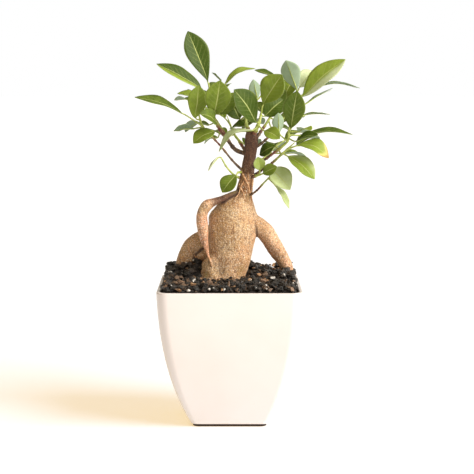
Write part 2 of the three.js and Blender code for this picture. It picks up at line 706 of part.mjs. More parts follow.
function makeLeaf(root, [, foot, tip, width, faces, arch, widest = WIDEST]) {
  const up = vec(faces).normalize();
  const chord = vec(tip).sub(vec(foot));
  const lift = up.clone().addScaledVector(chord, -up.dot(chord) / chord.lengthSq()).normalize();
  const middle = vec(foot).addScaledVector(chord, 0.5).addScaledVector(lift, arch);
  const curve = bend([root, vec(foot), middle, vec(tip)]);
  return thickSheet((column, row, side) => {
    const u = row === 0 ? 0 : BLADE_ROWS[row - 1];
    const t = row === 0 ? 0 : (1 + 2 * u) / 3;
    const ahead = curve.getTangent(t);
    const normal = up.clone().addScaledVector(ahead, -up.dot(ahead)).normalize();
    const across = normal.clone().cross(ahead);
    const half = u === 0 ? PETIOLE_THICKNESS / 2 : bladeHalf(u, width, widest);
    const thick = u === 0 ? PETIOLE_THICKNESS : BLADE_THICKNESS;
    const sideways = column - 1;
    const point = curve.getPoint(t);
    point.addScaledVector(across, sideways * half * Math.cos(LEAF_FOLD));
    point.addScaledVector(normal, Math.abs(sideways) * half * Math.sin(u === 0 ? 0 : LEAF_FOLD));
    return point.addScaledVector(normal, (side * thick) / 2);
  });
}

function makeShoot(shoot) {
  const { curve, radii, scale } = stemCurve(shoot);
  const green = shoot.green * scale;
  const pace = curve.getPoint(green).distanceTo(curve.getPoint(green + 0.01)) / 0.01;
  const bodies = [limb(curve, radii, { sides: 5, steps: 5, from: green + (2 * CLEARANCE) / pace })];
  for (const leaf of shoot.leaves) {
    bodies.push(makeLeaf(curve.getPoint(leaf[0] * scale), leaf));
  }
  return largest(union(bodies));
}

// The whole plant in its pot

const bonsai = new THREE.Group();
bonsai.name = "ficus_ginseng_bonsai";
bonsai.add(asMesh("pot", makePot(), glaze));
bonsai.add(asMesh("potting_mix", makeSoil(makeWood(CLEARANCE)), mix));
bonsai.add(asMesh("root_body_and_trunk", makeWood(0), bark));
for (const shoot of SHOOTS) {
  bonsai.add(asMesh(shoot.name, makeShoot(shoot), green));
}

export default bonsai;
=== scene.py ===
# %% [markdown]
# # A ficus ginseng bonsai in a white pot
#
# This lesson dresses a measured model of a small bonsai: a swollen root body that stands on arching roots, a
# short dark trunk, thin twigs with glossy leaves, dark grit to grow in and a white glazed pot. The solids give
# every size and place. Here each of them is replaced by a finer piece of the same form, and gets a finish.

# %% Load the measured model
import math
import random

import bmesh
import bpy
from mathutils import Matrix, Vector, noise
from mathutils.bvhtree import BVHTree
from mathutils.kdtree import KDTree


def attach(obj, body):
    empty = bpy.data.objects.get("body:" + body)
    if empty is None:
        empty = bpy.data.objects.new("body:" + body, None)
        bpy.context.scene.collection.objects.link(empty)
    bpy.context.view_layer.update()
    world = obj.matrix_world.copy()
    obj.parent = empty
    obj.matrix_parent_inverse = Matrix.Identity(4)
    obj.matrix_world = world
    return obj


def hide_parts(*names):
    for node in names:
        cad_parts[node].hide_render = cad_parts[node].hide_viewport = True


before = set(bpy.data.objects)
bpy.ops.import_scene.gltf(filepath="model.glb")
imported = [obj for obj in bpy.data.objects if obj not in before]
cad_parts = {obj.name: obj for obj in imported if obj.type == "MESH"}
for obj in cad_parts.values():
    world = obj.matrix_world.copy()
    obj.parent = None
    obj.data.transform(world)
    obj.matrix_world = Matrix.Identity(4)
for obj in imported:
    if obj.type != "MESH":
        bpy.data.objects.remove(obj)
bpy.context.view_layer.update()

print("nodes:", len(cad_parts))

# %% [markdown]
# ## Units and colours
#
# The model's sizes are millimetres, as a plant grower measures, and Blender works in metres. So every piece is
# modelled in millimetres and scaled once, when it is finished. Colours are written as a screen shows them,
# from 0 to 255, and turned into the linear light that a shader reckons with.

# %% Units and colours
MM = 0.001


def shade(red, green, blue):
    """A screen colour as linear light, by the sRGB curve, with a solid alpha."""
    linear = [((c / 255 + 0.055) / 1.055) ** 2.4 if c > 10 else c / 255 / 12.92 for c in (red, green, blue)]
    return (*linear, 1.0)


def ease(low, high, value):
    """0 below low, 1 above high and a smooth rise between them."""
    part = min(max((value - low) / (high - low), 0.0), 1.0)
    return part * part * (3 - 2 * part)


# %% [markdown]
# ## Smooth curves through a few points
#
# A root or a twig bends without corners, so its middle line is a curve through a few measured points. A
# Catmull-Rom curve passes through all of them. Its centripetal form spaces the bends by distance, so it neither
# loops nor overshoots where two points lie close together, as they do where a root dives into the soil.

# %% Curves
def curve_point(points, t):
    """The place at share t of a centripetal Catmull-Rom curve through the points."""
    last = len(points) - 1
    place = min(max(t, 0.0), 1.0) * last
    step = min(int(place), last - 1)
    part = place - step
    start, end = points[step], points[step + 1]
    before = points[step - 1] if step > 0 else 2 * start - end
    after = points[step + 2] if step + 2 <= last else 2 * end - start
    first, middle, second = (math.sqrt((b - a).length) for a, b in ((before, start), (start, end), (end, after)))
    leave = (start - before) / first - (end - before) / (first + middle) + (end - start) / middle
    arrive = (end - start) / middle - (after - start) / (middle + second) + (after - end) / second
    leave, arrive = leave * middle, arrive * middle
    bend = -3 * start + 3 * end - 2 * leave - arrive
    twist = 2 * start - 2 * end + leave + arrive
    return start + leave * part + bend * part**2 + twist * part**3


SMALL_STEP = 1e-4


def curve_ahead(points, t):
    """The way the curve runs at share t, as a unit vector."""
    low, high = max(t - SMALL_STEP, 0.0), min(t + SMALL_STEP, 1.0)
    return (curve_point(points, high) - curve_point(points, low)).normalized()


def along(values, t):
    """A value read along a list of evenly spaced values, without corners."""
    place = min(max(t, 0.0), 1.0) * (len(values) - 1)
    step = min(int(place), len(values) - 2)
    part = place - step
    smooth = part * part * (3 - 2 * part) * 0.5 + part * 0.5
    return values[step] + (values[step + 1] - values[step]) * smooth


def vectors(rows):
    """Plain rows of three numbers as vectors."""
    return [Vector(row) for row in rows]


# %% [markdown]
# ## A tube that follows a curve
#
# Roots, twigs, petioles and buds are all tubes that swell and thin out. Each starts as Blender's own closed
# cylinder, which is cut into rings along its length. Every ring is then carried to its place on the curve and
# given its radius there. So one small helper serves a 40 mm body and a 1 mm rootlet.

# %% Tubes
LOOKS = 12


def steady_side(points, start, end):
    """The main axis that the curve never runs along, so that the rings don't twist."""
    axes = [Vector((1, 0, 0)), Vector((0, 1, 0)), Vector((0, 0, 1))]
    runs = [curve_ahead(points, start + (end - start) * k / LOOKS) for k in range(LOOKS + 1)]
    return min(axes, key=lambda axis: max(abs(run.dot(axis)) for run in runs))


def ringed_tube(sides, rings):
    """A closed cylinder from -0.5 to 0.5 along Z, cut into rings."""
    tube = bmesh.new()
    bmesh.ops.create_cone(tube, cap_ends=True, cap_tris=False, segments=sides, radius1=1, radius2=1, depth=1)
    upright = [e for e in tube.edges if abs(e.verts[0].co.z - e.verts[1].co.z) > 0.5]
    bmesh.ops.subdivide_edges(tube, edges=upright, cuts=rings - 1)
    return tube


def merge(bm, part):
    """Adds the bmesh part to bm and frees it."""
    scrap = bpy.data.meshes.new("scrap")
    part.to_mesh(scrap)
    part.free()
    bm.from_mesh(scrap)
    bpy.data.meshes.remove(scrap)


def add_tube(bm, points, radius, sides, rings, start=0.0, end=1.0, sink=None, material=0):
    """Adds a closed tube. radius(t, angle) is its radius, and sink(t) moves its middle line."""
    tube = ringed_tube(sides, rings)
    side = steady_side(points, start, end)
    for vert in tube.verts:
        t = start + (end - start) * (vert.co.z + 0.5)
        ahead = curve_ahead(points, t)
        out = (side - ahead * side.dot(ahead)).normalized()
        across = out.cross(ahead)
        angle = math.atan2(vert.co.y, vert.co.x)
        place = curve_point(points, t) + (sink(t) if sink else Vector())
        vert.co = place + (out * math.cos(angle) + across * math.sin(angle)) * radius(t, angle)
    bmesh.ops.recalc_face_normals(tube, faces=tube.faces)
    for face in tube.faces:
        face.material_index = material
        face.smooth = True
    merge(bm, tube)


# %% [markdown]
# ## Finishing a piece
#
# A finished piece is scaled to metres, gets its materials, rides on the one body of this plant and stands in for the
# solid that it replaces.

# %% Finish a piece
def metre_mesh(name, bm):
    """A mesh in metres from a bmesh in millimetres, which is freed."""
    bmesh.ops.scale(bm, vec=(MM, MM, MM), verts=bm.verts)
    mesh = bpy.data.meshes.new(name)
    bm.to_mesh(mesh)
    bm.free()
    return mesh


def add_object(name, data):
    """A new object in the scene."""
    added = bpy.data.objects.new(name, data)
    bpy.context.scene.collection.objects.link(added)
    return added


def place_piece(name, mesh, materials, replaced=()):
    """Puts a mesh in metres into the model."""
    for material in materials:
        mesh.materials.append(material)
    piece = add_object(name, mesh)
    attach(piece, "root")
    if replaced:
        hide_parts(*replaced)
    print(f"{name}: {sum(len(face.vertices) - 2 for face in mesh.polygons)} triangles")


def finish_piece(name, bm, materials, replaced=()):
    """Turns a bmesh in millimetres into a piece of the model."""
    place_piece(name, metre_mesh(name, bm), materials, replaced)


# %% [markdown]
# ## Node helpers
#
# Each finish below is a small recipe of shader nodes. A few helpers keep the recipes readable. The first makes a
# node, sets it and wires its inputs in one line, the second gives a fresh material with its main shader, and the
# others stand for the steps that come back in every recipe: a noise, a blend, a sum, a layer of tone, a relief.

# %% Node helpers
def add_node(material, kind, inputs=None, **settings):
    """Makes a node of a material or a world. inputs maps a socket to a value, or to the socket that feeds it."""
    node = material.node_tree.nodes.new(kind)
    for setting, value in settings.items():
        setattr(node, setting, value)
    for socket, value in (inputs or {}).items():
        if isinstance(value, bpy.types.NodeSocket):
            material.node_tree.links.new(value, node.inputs[socket])
        else:
            node.inputs[socket].default_value = value
    return node


def new_finish(name, roughness, **sockets):
    """A material, and the shader at its end."""
    material = bpy.data.materials.new(name)
    material.use_nodes = True
    shader = material.node_tree.nodes["Principled BSDF"]
    shader.inputs["Roughness"].default_value = roughness
    for socket, value in sockets.items():
        shader.inputs[socket.replace("_", " ")].default_value = value
    return material, shader


def feed(material, socket, source):
    """Wires a source into a socket."""
    material.node_tree.links.new(source, socket)


def millimetres(material, stretch=(1, 1, 1)):
    """Object coordinates in millimetres, stretched along an axis where a number is under 1."""
    place = add_node(material, "ShaderNodeTexCoord").outputs["Object"]
    scale = [s / MM for s in stretch]
    return add_node(material, "ShaderNodeMapping", {"Vector": place, "Scale": scale}).outputs["Vector"]


def speckle(material, place, scale, detail=3.0, rough=0.55, low=0.35, high=0.65):
    """A noise pattern whose low..high band is spread over 0..1. Scale is in bumps to the millimetre."""
    pattern = add_node(material, "ShaderNodeTexNoise",
                       {"Vector": place, "Scale": scale, "Detail": detail, "Roughness": rough})
    return spread(material, pattern.outputs["Fac"], low, high)


def spread(material, value, low, high, onto=(0.0, 1.0)):
    """Spreads the band low..high of a value smoothly over another band, and cuts off the rest."""
    node = add_node(material, "ShaderNodeMapRange", {"Value": value, "From Min": low, "From Max": high,
                    "To Min": onto[0], "To Max": onto[1]}, interpolation_type="SMOOTHSTEP")
    return node.outputs["Result"]


def blend(material, share, first, second):
    """A colour between two others. In the Mix node, sockets 6 and 7 and output 2 are the ones for colours."""
    return add_node(material, "ShaderNodeMix", {0: share, 6: first, 7: second}, data_type="RGBA").outputs[2]


def reckon(material, operation, *values, clamp=False):
    """One sum of the Math node."""
    node = add_node(material, "ShaderNodeMath", dict(enumerate(values)), operation=operation, use_clamp=clamp)
    return node.outputs[0]


def layered(material, colour, *layers):
    """A colour with tones laid over it. A layer is its mask, the share that it covers at most, and its tone."""
    for mask, share, tone in layers:
        colour = blend(material, reckon(material, "MULTIPLY", mask, share), colour, tone)
    return colour


def weighted(material, *parts):
    """The sum of some patterns, each times its weight."""
    total = 0.0
    for pattern, weight in parts:
        total = reckon(material, "MULTIPLY_ADD", pattern, weight, total)
    return total


def relief(material, shader, height, distance, strength):
    """Bumps the surface by a height pattern. Distance is in metres."""
    node = add_node(material, "ShaderNodeBump", {"Height": height, "Distance": distance, "Strength": strength})
    feed(material, shader.inputs["Normal"], node.outputs["Normal"])


def two_tone(name, roughness, dark, light, scale, detail, distance=0.0, strength=0.0):
    """A whole finish of grains in two tones, with a relief where a strength is given."""
    material, shader = new_finish(name, roughness)
    grain = speckle(material, millimetres(material), scale, detail)
    feed(material, shader.inputs["Base Color"], blend(material, grain, shade(*dark), shade(*light)))
    if strength:
        relief(material, shader, grain, distance, strength)
    return material


# %% [markdown]
# ## Camera and light
#
# The photograph looks at the plant from the front, from 1.2 m away and a little above it, through a long lens.
# The set is white and very bright, and one soft warm light comes from the right. A sun with a wide disc gives that
# light evenly over the whole floor, with soft shadows. The sky fills in the rest. It is brighter on the right, as a
# big lamp behind a cloth is, and warmer on the left. What the camera sees of it is pure white. The floor glows a
# little by itself, as a lit table of white acrylic does, so it shows white, and its shadows stay light and warm.

# %% Camera
CAMERA_PLACE = Vector((0, -1.2, 0.288))
LOOK_DOWN = math.radians(6.187)
LENS = 107.1
SENSOR_WIDTH = 36
FAR_END = 100
PICTURE_WIDTH = 474
MIDDLE_COLUMN = 229.7

camera_data = bpy.data.cameras.new("camera")
camera_data.lens = LENS
camera_data.sensor_width = SENSOR_WIDTH
camera_data.shift_x = (PICTURE_WIDTH / 2 - MIDDLE_COLUMN) / PICTURE_WIDTH
camera_data.clip_end = FAR_END
camera = add_object("camera", camera_data)
camera.location = CAMERA_PLACE
camera.rotation_euler = (math.radians(90) - LOOK_DOWN, 0, 0)
bpy.context.scene.camera = camera
bpy.context.scene.view_settings.view_transform = "Standard"

# %% Light and floor
SUN_STRENGTH = 4.5
SUN_WIDTH = math.radians(38)
SUN_COLOUR = (1.0, 0.975, 0.94)
SUN_WAY = Vector((0.85, -0.45, 0.62))
DARK_SIDE = (0.24, 0.178, 0.085, 1)
BRIGHT_SIDE = (0.72, 0.71, 0.69, 1)
FLOOR_COLOUR = (0.3, 0.46, 0.7, 1)
FLOOR_GLOW = (0.80, 0.58, 0.30, 1)
FLOOR_RADIUS = 30

sun_data = bpy.data.lights.new("key", "SUN")
sun_data.energy = SUN_STRENGTH
sun_data.angle = SUN_WIDTH
sun_data.color = SUN_COLOUR
sun = add_object("key", sun_data)
sun.rotation_euler = SUN_WAY.to_track_quat("Z", "Y").to_euler()

sky = bpy.data.worlds.new("sky")
sky.use_nodes = True
way = add_node(sky, "ShaderNodeTexCoord").outputs["Generated"]
to_right = add_node(sky, "ShaderNodeSeparateXYZ", {"Vector": way}).outputs["X"]
rightness = add_node(sky, "ShaderNodeMapRange", {"Value": to_right, "From Min": -1.0}).outputs["Result"]
in_view = add_node(sky, "ShaderNodeLightPath").outputs["Is Camera Ray"]
backdrop = blend(sky, in_view, blend(sky, rightness, DARK_SIDE, BRIGHT_SIDE), (1, 1, 1, 1))
feed(sky, sky.node_tree.nodes["Background"].inputs["Color"], backdrop)
bpy.context.scene.world = sky

floor_finish, _ = new_finish("floor", 0.9, Base_Color=FLOOR_COLOUR, Specular_IOR_Level=0.0,
                             Emission_Color=FLOOR_GLOW, Emission_Strength=1.0)
floor_bm = bmesh.new()
bmesh.ops.create_circle(floor_bm, cap_ends=True, segments=96, radius=FLOOR_RADIUS)
floor_mesh = bpy.data.meshes.new("floor")
floor_bm.to_mesh(floor_mesh)
floor_bm.free()
floor_mesh.materials.append(floor_finish)
floor = add_object("floor", floor_mesh)

# %% [markdown]
# ## The pot's finish
#
# The pot is stoneware under a thick cream-white glaze. The glaze is smooth as glass, and only its slow waves and
# a few pinholes show in its highlights. The foot stands bare, because glaze would stick to the kiln's shelf, so it
# shows the brown clay. That clay is painted much darker than bare clay is, as a painted shade for the narrow gap
# under the pot.

# %% Glaze and bare clay
glaze, glaze_shader = new_finish("white_glaze", 0.2, Coat_Weight=0.3, Coat_Roughness=0.06)
place = millimetres(glaze)
cloud = speckle(glaze, place, 0.02, 2.0, low=0.2, high=0.8)
glaze_colour = blend(glaze, cloud, shade(233, 221, 213), shade(237, 226, 219))
pinhole = speckle(glaze, place, 0.9, 1.0, low=0.76, high=0.8)
glaze_colour = layered(glaze, glaze_colour, (pinhole, 0.35, shade(196, 176, 146)))
feed(glaze, glaze_shader.inputs["Base Color"], glaze_colour)
waves = speckle(glaze, place, 0.05, 1.0, low=0.0, high=1.0)
relief(glaze, glaze_shader, waves, distance=0.0006, strength=0.12)

# the foot's clay is brown, and painted very dark as the shade in the gap under the pot
foot_clay_and_shade = two_tone("bare_clay_and_painted_shade", 0.85, (34, 24, 19), (66, 44, 31), scale=1.3, detail=4.0, distance=0.0002, strength=0.6)

# %% [markdown]
# ## The pot
#
# A potter would cast this square pot in a mould. In Blender, its section is a rounded square at every height, and
# only the size changes. So one rounded square is drawn, by bevelling the corners of a flat square, and its edge is
# extruded from ring to ring: up the outside, over the lip and down the inside. Four drain holes are then cut.

# %% Pot sizes
POT_HEIGHT = 118
POT_HALF_TOP = 60.5
POT_HALF_BOTTOM = 33
POT_BELLY = (58, 50)
POT_WALL = 3.4
POT_FLOOR = 7
POT_CORNER = 0.16
LIP_ROUND = 1.1
LIP_DROP = 1.6
SKIRT_ROUND = 0.6
FOOT_HEIGHT = 2.4
FOOT_HALF = 31.2
FOOT_ROUND = 0.8
FLOOR_ROUND = 3
DRAIN_RADIUS = 4
DRAIN_OFFSET = 15
WALL_STEPS = 26
CORNER_STEPS = 9
INNER_HALF = POT_HALF_TOP - POT_WALL


def pot_wall(inset):
    """Half widths and heights up the swelling side, a distance inset from the outside."""
    low = Vector((POT_HALF_BOTTOM - inset, FOOT_HEIGHT + SKIRT_ROUND + inset))
    belly = Vector((POT_BELLY[0] - inset, POT_BELLY[1]))
    high = Vector((POT_HALF_TOP - inset, POT_HEIGHT - LIP_DROP))
    shares = [k / WALL_STEPS for k in range(WALL_STEPS + 1)]
    return [low * (1 - t) ** 2 + belly * 2 * t * (1 - t) + high * t**2 for t in shares]


def rounded_corner(middle, radius, start, end, steps=5):
    """Points of a round edge in the section, from one angle in degrees to another, anticlockwise."""
    angles = [math.radians(start + (end - start) * k / steps) for k in range(steps + 1)]
    return [Vector((middle[0] + radius * math.cos(a), middle[1] + radius * math.sin(a))) for a in angles]


# %% The pot's piece
def make_pot():
    """The pot with its foot and its lip, still without drain holes."""
    inner_side = pot_wall(POT_WALL)[2:]  # the two lowest points give way to the floor's round edge
    section = [
        *rounded_corner((FOOT_HALF - FOOT_ROUND, FOOT_ROUND), FOOT_ROUND, -90, 0),
        Vector((FOOT_HALF, FOOT_HEIGHT)),
        Vector((POT_HALF_BOTTOM - 2 * SKIRT_ROUND, FOOT_HEIGHT)),
        *rounded_corner((POT_HALF_BOTTOM - SKIRT_ROUND, FOOT_HEIGHT + SKIRT_ROUND), SKIRT_ROUND, -80, -15, 3),
        *pot_wall(0),
        *rounded_corner((POT_HALF_TOP - LIP_ROUND, POT_HEIGHT - LIP_ROUND), LIP_ROUND, 10, 90),
        *rounded_corner((INNER_HALF + LIP_ROUND, POT_HEIGHT - LIP_ROUND), LIP_ROUND, 90, 170),
        *reversed(inner_side),
        Vector((POT_HALF_BOTTOM - POT_WALL - FLOOR_ROUND, POT_FLOOR)),
    ]
    bm = bmesh.new()
    bmesh.ops.create_grid(bm, x_segments=1, y_segments=1, size=1)
    bmesh.ops.bevel(bm, geom=bm.verts[:], offset=POT_CORNER, offset_type="OFFSET", segments=CORNER_STEPS,
                    profile=0.5, affect="VERTICES", material=-1)
    ring = list(bm.faces[:][0].edges)
    half = section[0].x
    for vert in bm.verts:
        vert.co = Vector((vert.co.x * half, vert.co.y * half, section[0].y))
    for point in section[1:]:
        grown = bmesh.ops.extrude_edge_only(bm, edges=ring)["geom"]
        ring = [e for e in grown if isinstance(e, bmesh.types.BMEdge)]
        for vert in {v for e in ring for v in e.verts}:
            vert.co = Vector((vert.co.x * point.x / half, vert.co.y * point.x / half, point.y))
        half = point.x
    bmesh.ops.contextual_create(bm, geom=ring)
    bmesh.ops.recalc_face_normals(bm, faces=bm.faces)
    for face in bm.faces:
        face.smooth = True
    return bm


pot_bm = make_pot()
drains_bm = bmesh.new()
for x, y in ((1, 1), (1, -1), (-1, 1), (-1, -1)):
    spot = Matrix.Translation((x * DRAIN_OFFSET, y * DRAIN_OFFSET, POT_FLOOR / 2))
    bmesh.ops.create_cone(drains_bm, cap_ends=True, segments=32, radius1=DRAIN_RADIUS, radius2=DRAIN_RADIUS,
                          depth=3 * POT_FLOOR, matrix=spot)


def with_modifiers(helper):
    """The mesh that a helper object's modifiers make. The helper itself is removed."""
    mesh = bpy.data.meshes.new_from_object(helper.evaluated_get(bpy.context.evaluated_depsgraph_get()))
    mesh.materials.clear()
    bpy.data.objects.remove(helper)
    return mesh


pot_helper = add_object("pot_helper", metre_mesh("pot_helper", pot_bm))
drains = add_object("drains", metre_mesh("drains", drains_bm))
cut = pot_helper.modifiers.new("drains", "BOOLEAN")
cut.operation = "DIFFERENCE"
cut.object = drains
pot_mesh = with_modifiers(pot_helper)
bpy.data.objects.remove(drains)
pot_mesh.name = "glazed_pot"
place_piece("glazed_pot", pot_mesh, [glaze, foot_clay_and_shade], ["pot"])
bare_below = (FOOT_HEIGHT + 0.01) * MM
for face in pot_mesh.polygons:
    highest = max(pot_mesh.vertices[index].co.z for index in face.vertices)
    face.material_index = 1 if highest <= bare_below else 0

# %% [markdown]
# ## The wood's sizes
#
# The root body and trunk are given by levels: height, middle in X and Y, half width and half depth. Shallow flutes
# run up it. The thick roots are curves with a list of radii, from the body down into the soil. Each has a share of
# pink, since the photograph shows the arching root flushed.

# %% Levels of the root body and trunk
COLUMN = [
    (92, -3, 2, 5, 5), (99, -4.4, 2, 12, 11), (108, -5.6, 1, 15.6, 14), (118, -5.6, 0, 17.2, 15.5),
    (128, -3, 0, 17.3, 16), (138, -0.6, 0, 17.9, 16.5), (148, 0.4, 0, 18.9, 17), (158, 1.2, 0, 20, 17.5),
    (167, 1.8, 0, 21, 17.5), (175, 2.3, 0, 20.9, 17), (181, 3.8, 0, 18.2, 15.6), (186, 5, 0, 15.8, 13.8),
    (190.5, 6.3, 0, 13.3, 11.6), (194.5, 10.6, 0, 9, 8.8), (198, 12.5, 0, 7.2, 7.4), (203, 13.2, 0, 6.7, 6.7),
    (211, 14.7, 0, 6.3, 6.3), (220, 15.8, 0, 5.3, 5.5), (229, 17.4, 0, 5.3, 5.4), (238, 18.6, 0, 6, 5.8),
    (244, 18.4, 0, 5.4, 5.4), (248, 17.8, 0, 3.4, 3.6), (249, 17.6, 0, 1.2, 1.4),
]
FLUTE_DEPTH = 0.034
FLUTE_TWIST = 0.05

ROOTS = {
    "arch": {
        "points": [(7, -5, 197.5), (0, -8, 195), (-7, -9.5, 191.4), (-12.8, -11, 189.2), (-19, -12.3, 186.2),
                   (-23.3, -13.5, 178.5), (-23.1, -14, 169), (-22.2, -14, 162), (-21.2, -14, 155.5),
                   (-19.6, -14.5, 149.5), (-18.4, -15, 144.5), (-15.5, -14.5, 135.5)],
        "radii": [1.6, 2, 2.7, 3.5, 4.8, 4.4, 4.8, 4.3, 3.4, 2.1, 1.4, 1.1],
        "pink": 1.0,
    },
    "prop": {
        "points": [(10, 1, 174), (21, 2, 170), (28.8, 4, 163.5), (35.4, 7, 154), (41.4, 10, 144.5),
                   (47, 13, 135), (50.4, 15, 126), (50.2, 16, 116), (46, 16, 104), (40, 15, 94)],
        "radii": [7.8, 7.9, 7.8, 7.2, 6.6, 5.8, 5, 4.3, 3, 1.4],
        "pink": 0.45,
    },
    "rear_left": {
        "points": [(-2, 7, 162), (-16, 12, 157), (-29, 15, 149), (-36.2, 15, 139.5), (-40.6, 15, 129),
                   (-42.4, 14, 117), (-41.5, 12, 104), (-38, 10, 93)],
        "radii": [9, 10.5, 10.1, 8, 7, 6, 4.4, 1.8],
        "pink": 0.15,
    },
    "inner_left": {
        "points": [(-6, 8, 152), (-16, 10, 145), (-24, 11, 136), (-27, 11, 124), (-27, 10, 110)],
        "radii": [8, 7.5, 7, 5.5, 3],
        "pink": 0.1,
    },
    "rear_leg": {
        "points": [(2, 6, 156), (4, 15, 146), (6, 24, 133), (7, 30, 119), (7, 33, 104), (6, 34, 94)],
        "radii": [9, 9.4, 8, 6.4, 4, 1.6],
        "pink": 0.3,
    },
    "front_foot": {
        "points": [(-6.5, -1, 150), (-9.5, -3, 140), (-12.5, -4.5, 130), (-16.5, -6.5, 119), (-19, -7.5, 103)],
        "radii": [8, 10.5, 12, 10.8, 6],
        "pink": 0.2,
    },
    "buried": {
        "points": [(0, -3, 116), (8, -12, 110), (17, -22, 103), (25, -31, 95)],
        "radii": [8, 6.5, 4, 1.4],
        "pink": 0.2,
    },
}

# %% [markdown]
# ## Bark
#
# The swollen root of this fig is smooth, tan and finely flecked, with the flecks drawn out up and down as the root
# stretched. It is greyer and darker where it is old, pink where the bark is thin and young, and the trunk
# above the neck has the dark purple-brown bark of the grafted shoots, with pale pores. One finish does all
# of it: a few values that are stored on the mesh say how pink, dark or mossy each place is, and how much painted
# shade darkens its creases. The fine net of cracks comes from a Voronoi texture, whose cells are like the small
# plates of such bark.

# %% Bark finish
bark, bark_shader = new_finish("bark", 0.6, Specular_IOR_Level=0.4)


def stored(material, name):
    """A value that is stored on the mesh's points."""
    return add_node(material, "ShaderNodeAttribute", attribute_name=name).outputs["Fac"]


def warped(material, place, scale, reach):
    """Coordinates that a noise pushes about, up to reach millimetres."""
    push = add_node(material, "ShaderNodeTexNoise", {"Vector": place, "Scale": scale, "Detail": 2.0})
    return add_node(material, "ShaderNodeVectorMath",
                    {0: push.outputs["Color"], 1: (reach, reach, reach), 2: place},
                    operation="MULTIPLY_ADD").outputs["Vector"]


def cracks(material, place, scale, width):
    """A net of fine lines between cells: 1 on a line and 0 inside a cell."""
    cell = add_node(material, "ShaderNodeTexVoronoi", {"Vector": place, "Scale": scale},
                    feature="DISTANCE_TO_EDGE").outputs["Distance"]
    return spread(material, cell, 0.0, width, onto=(1.0, 0.0))


even_place = warped(bark, millimetres(bark), 0.9, 1.2)
flat_place = warped(bark, millimetres(bark, (1.0, 1.0, 1.6)), 0.7, 1.0)
drawn_place = warped(bark, millimetres(bark, (1.0, 1.0, 0.4)), 0.6, 0.8)
fibre_place = warped(bark, millimetres(bark, (1.0, 1.0, 0.1)), 0.3, 1.5)
patches = speckle(bark, even_place, 0.07, 3.0, low=0.36, high=0.64)
tide = speckle(bark, even_place, 0.03, 2.0, low=0.42, high=0.6)
net = cracks(bark, flat_place, 0.5, 0.2)
flecks = speckle(bark, drawn_place, 0.75, 4.0, 0.65, 0.5, 0.62)
pale_flecks = speckle(bark, flat_place, 0.8, 3.0, 0.6, 0.53, 0.62)
fibres = speckle(bark, fibre_place, 0.9, 3.0, 0.6, 0.46, 0.58)
lenticels = speckle(bark, millimetres(bark, (0.5, 0.5, 1.5)), 0.7, 2.0, 0.5, 0.58, 0.66)
pink, dark, hollow, moss, neck = (stored(bark, name) for name in ("pink", "dark", "hollow", "moss", "neck"))

on_neck = reckon(bark, "MULTIPLY", neck, fibres)
on_pink = reckon(bark, "MULTIPLY", pink, lenticels)

tan = layered(
    bark, blend(bark, patches, shade(212, 162, 110), shade(238, 198, 152)),
    (tide, 0.3, shade(190, 164, 104)), (pink, 0.75, shade(238, 166, 126)), (neck, 0.85, shade(122, 75, 44)),
    (pale_flecks, 0.78, shade(255, 238, 208)), (net, 0.55, shade(116, 64, 30)), (flecks, 0.55, shade(106, 58, 28)),
    (on_neck, 0.6, shade(214, 156, 98)), (on_pink, 0.8, shade(250, 222, 196)),
)
trunk_tone = layered(
    bark, blend(bark, patches, shade(50, 26, 24), shade(108, 72, 52)),
    (flecks, 0.7, shade(32, 20, 18)), (pale_flecks, 0.4, shade(160, 118, 88)),
)
bark_colour = layered(bark, blend(bark, dark, tan, trunk_tone), (moss, 0.6, shade(128, 118, 44)))
# painted shade: the bark is darkened in its creases, where shade falls
bark_colour = blend(bark, hollow, bark_colour, shade(58, 30, 16))
feed(bark, bark_shader.inputs["Base Color"], bark_colour)
ridges = weighted(bark, (flecks, -0.6), (pale_flecks, 0.5), (on_neck, 1.2), (net, -0.5))
relief(bark, bark_shader, ridges, distance=0.0004, strength=0.8)

# %% [markdown]
# ## The root body
#
# The body and its thick roots grew together, without seams. The quick way to melt tubes into one skin is the voxel
# remesh, which wraps everything in one even grid. A copy of the skin is then smoothed much more, and the forks are
# filled towards it, as a swollen root's are. At last, moving each point a little along its normal gives the shallow
# dents and long ridges that catch the light.

# %% The root body's mesh
COLUMN_SIDES, COLUMN_RINGS = 64, 110
ROOT_SIDES, ROOT_RINGS = 28, 60
ROOT_BULGE, ROOT_KNUCKLES = 0.05, 0.03
VOXEL = 0.85
MELT_ROUNDS = 3
CAVITY_ROUNDS = 36
FILLET_ROUNDS = 2


def column_tube(bm):
    """The root body and trunk, lofted smoothly through their levels."""
    rows = [Vector((x, y, z)) for z, x, y, _, _ in COLUMN]
    widths = [Vector((half_x, half_y, 0)) for _, _, _, half_x, half_y in COLUMN]
    tube = ringed_tube(COLUMN_SIDES, COLUMN_RINGS)
    for vert in tube.verts:
        t = vert.co.z + 0.5
        middle, half = curve_point(rows, t), curve_point(widths, t)
        angle = math.atan2(vert.co.y, vert.co.x)
        waves = math.sin(-3 * angle + middle.z * FLUTE_TWIST) + 0.6 * math.sin(1 - 5 * angle)
        out = Vector((half.x * math.cos(angle), half.y * math.sin(angle), 0))
        vert.co = middle + out * (1 + FLUTE_DEPTH * waves)
    merge(bm, tube)


def soften(bm, rounds):
    """Draws every point towards its neighbours, again and again."""
    for _ in range(rounds):
        bmesh.ops.smooth_vert(bm, verts=bm.verts, factor=0.5, use_axis_x=True, use_axis_y=True, use_axis_z=True)


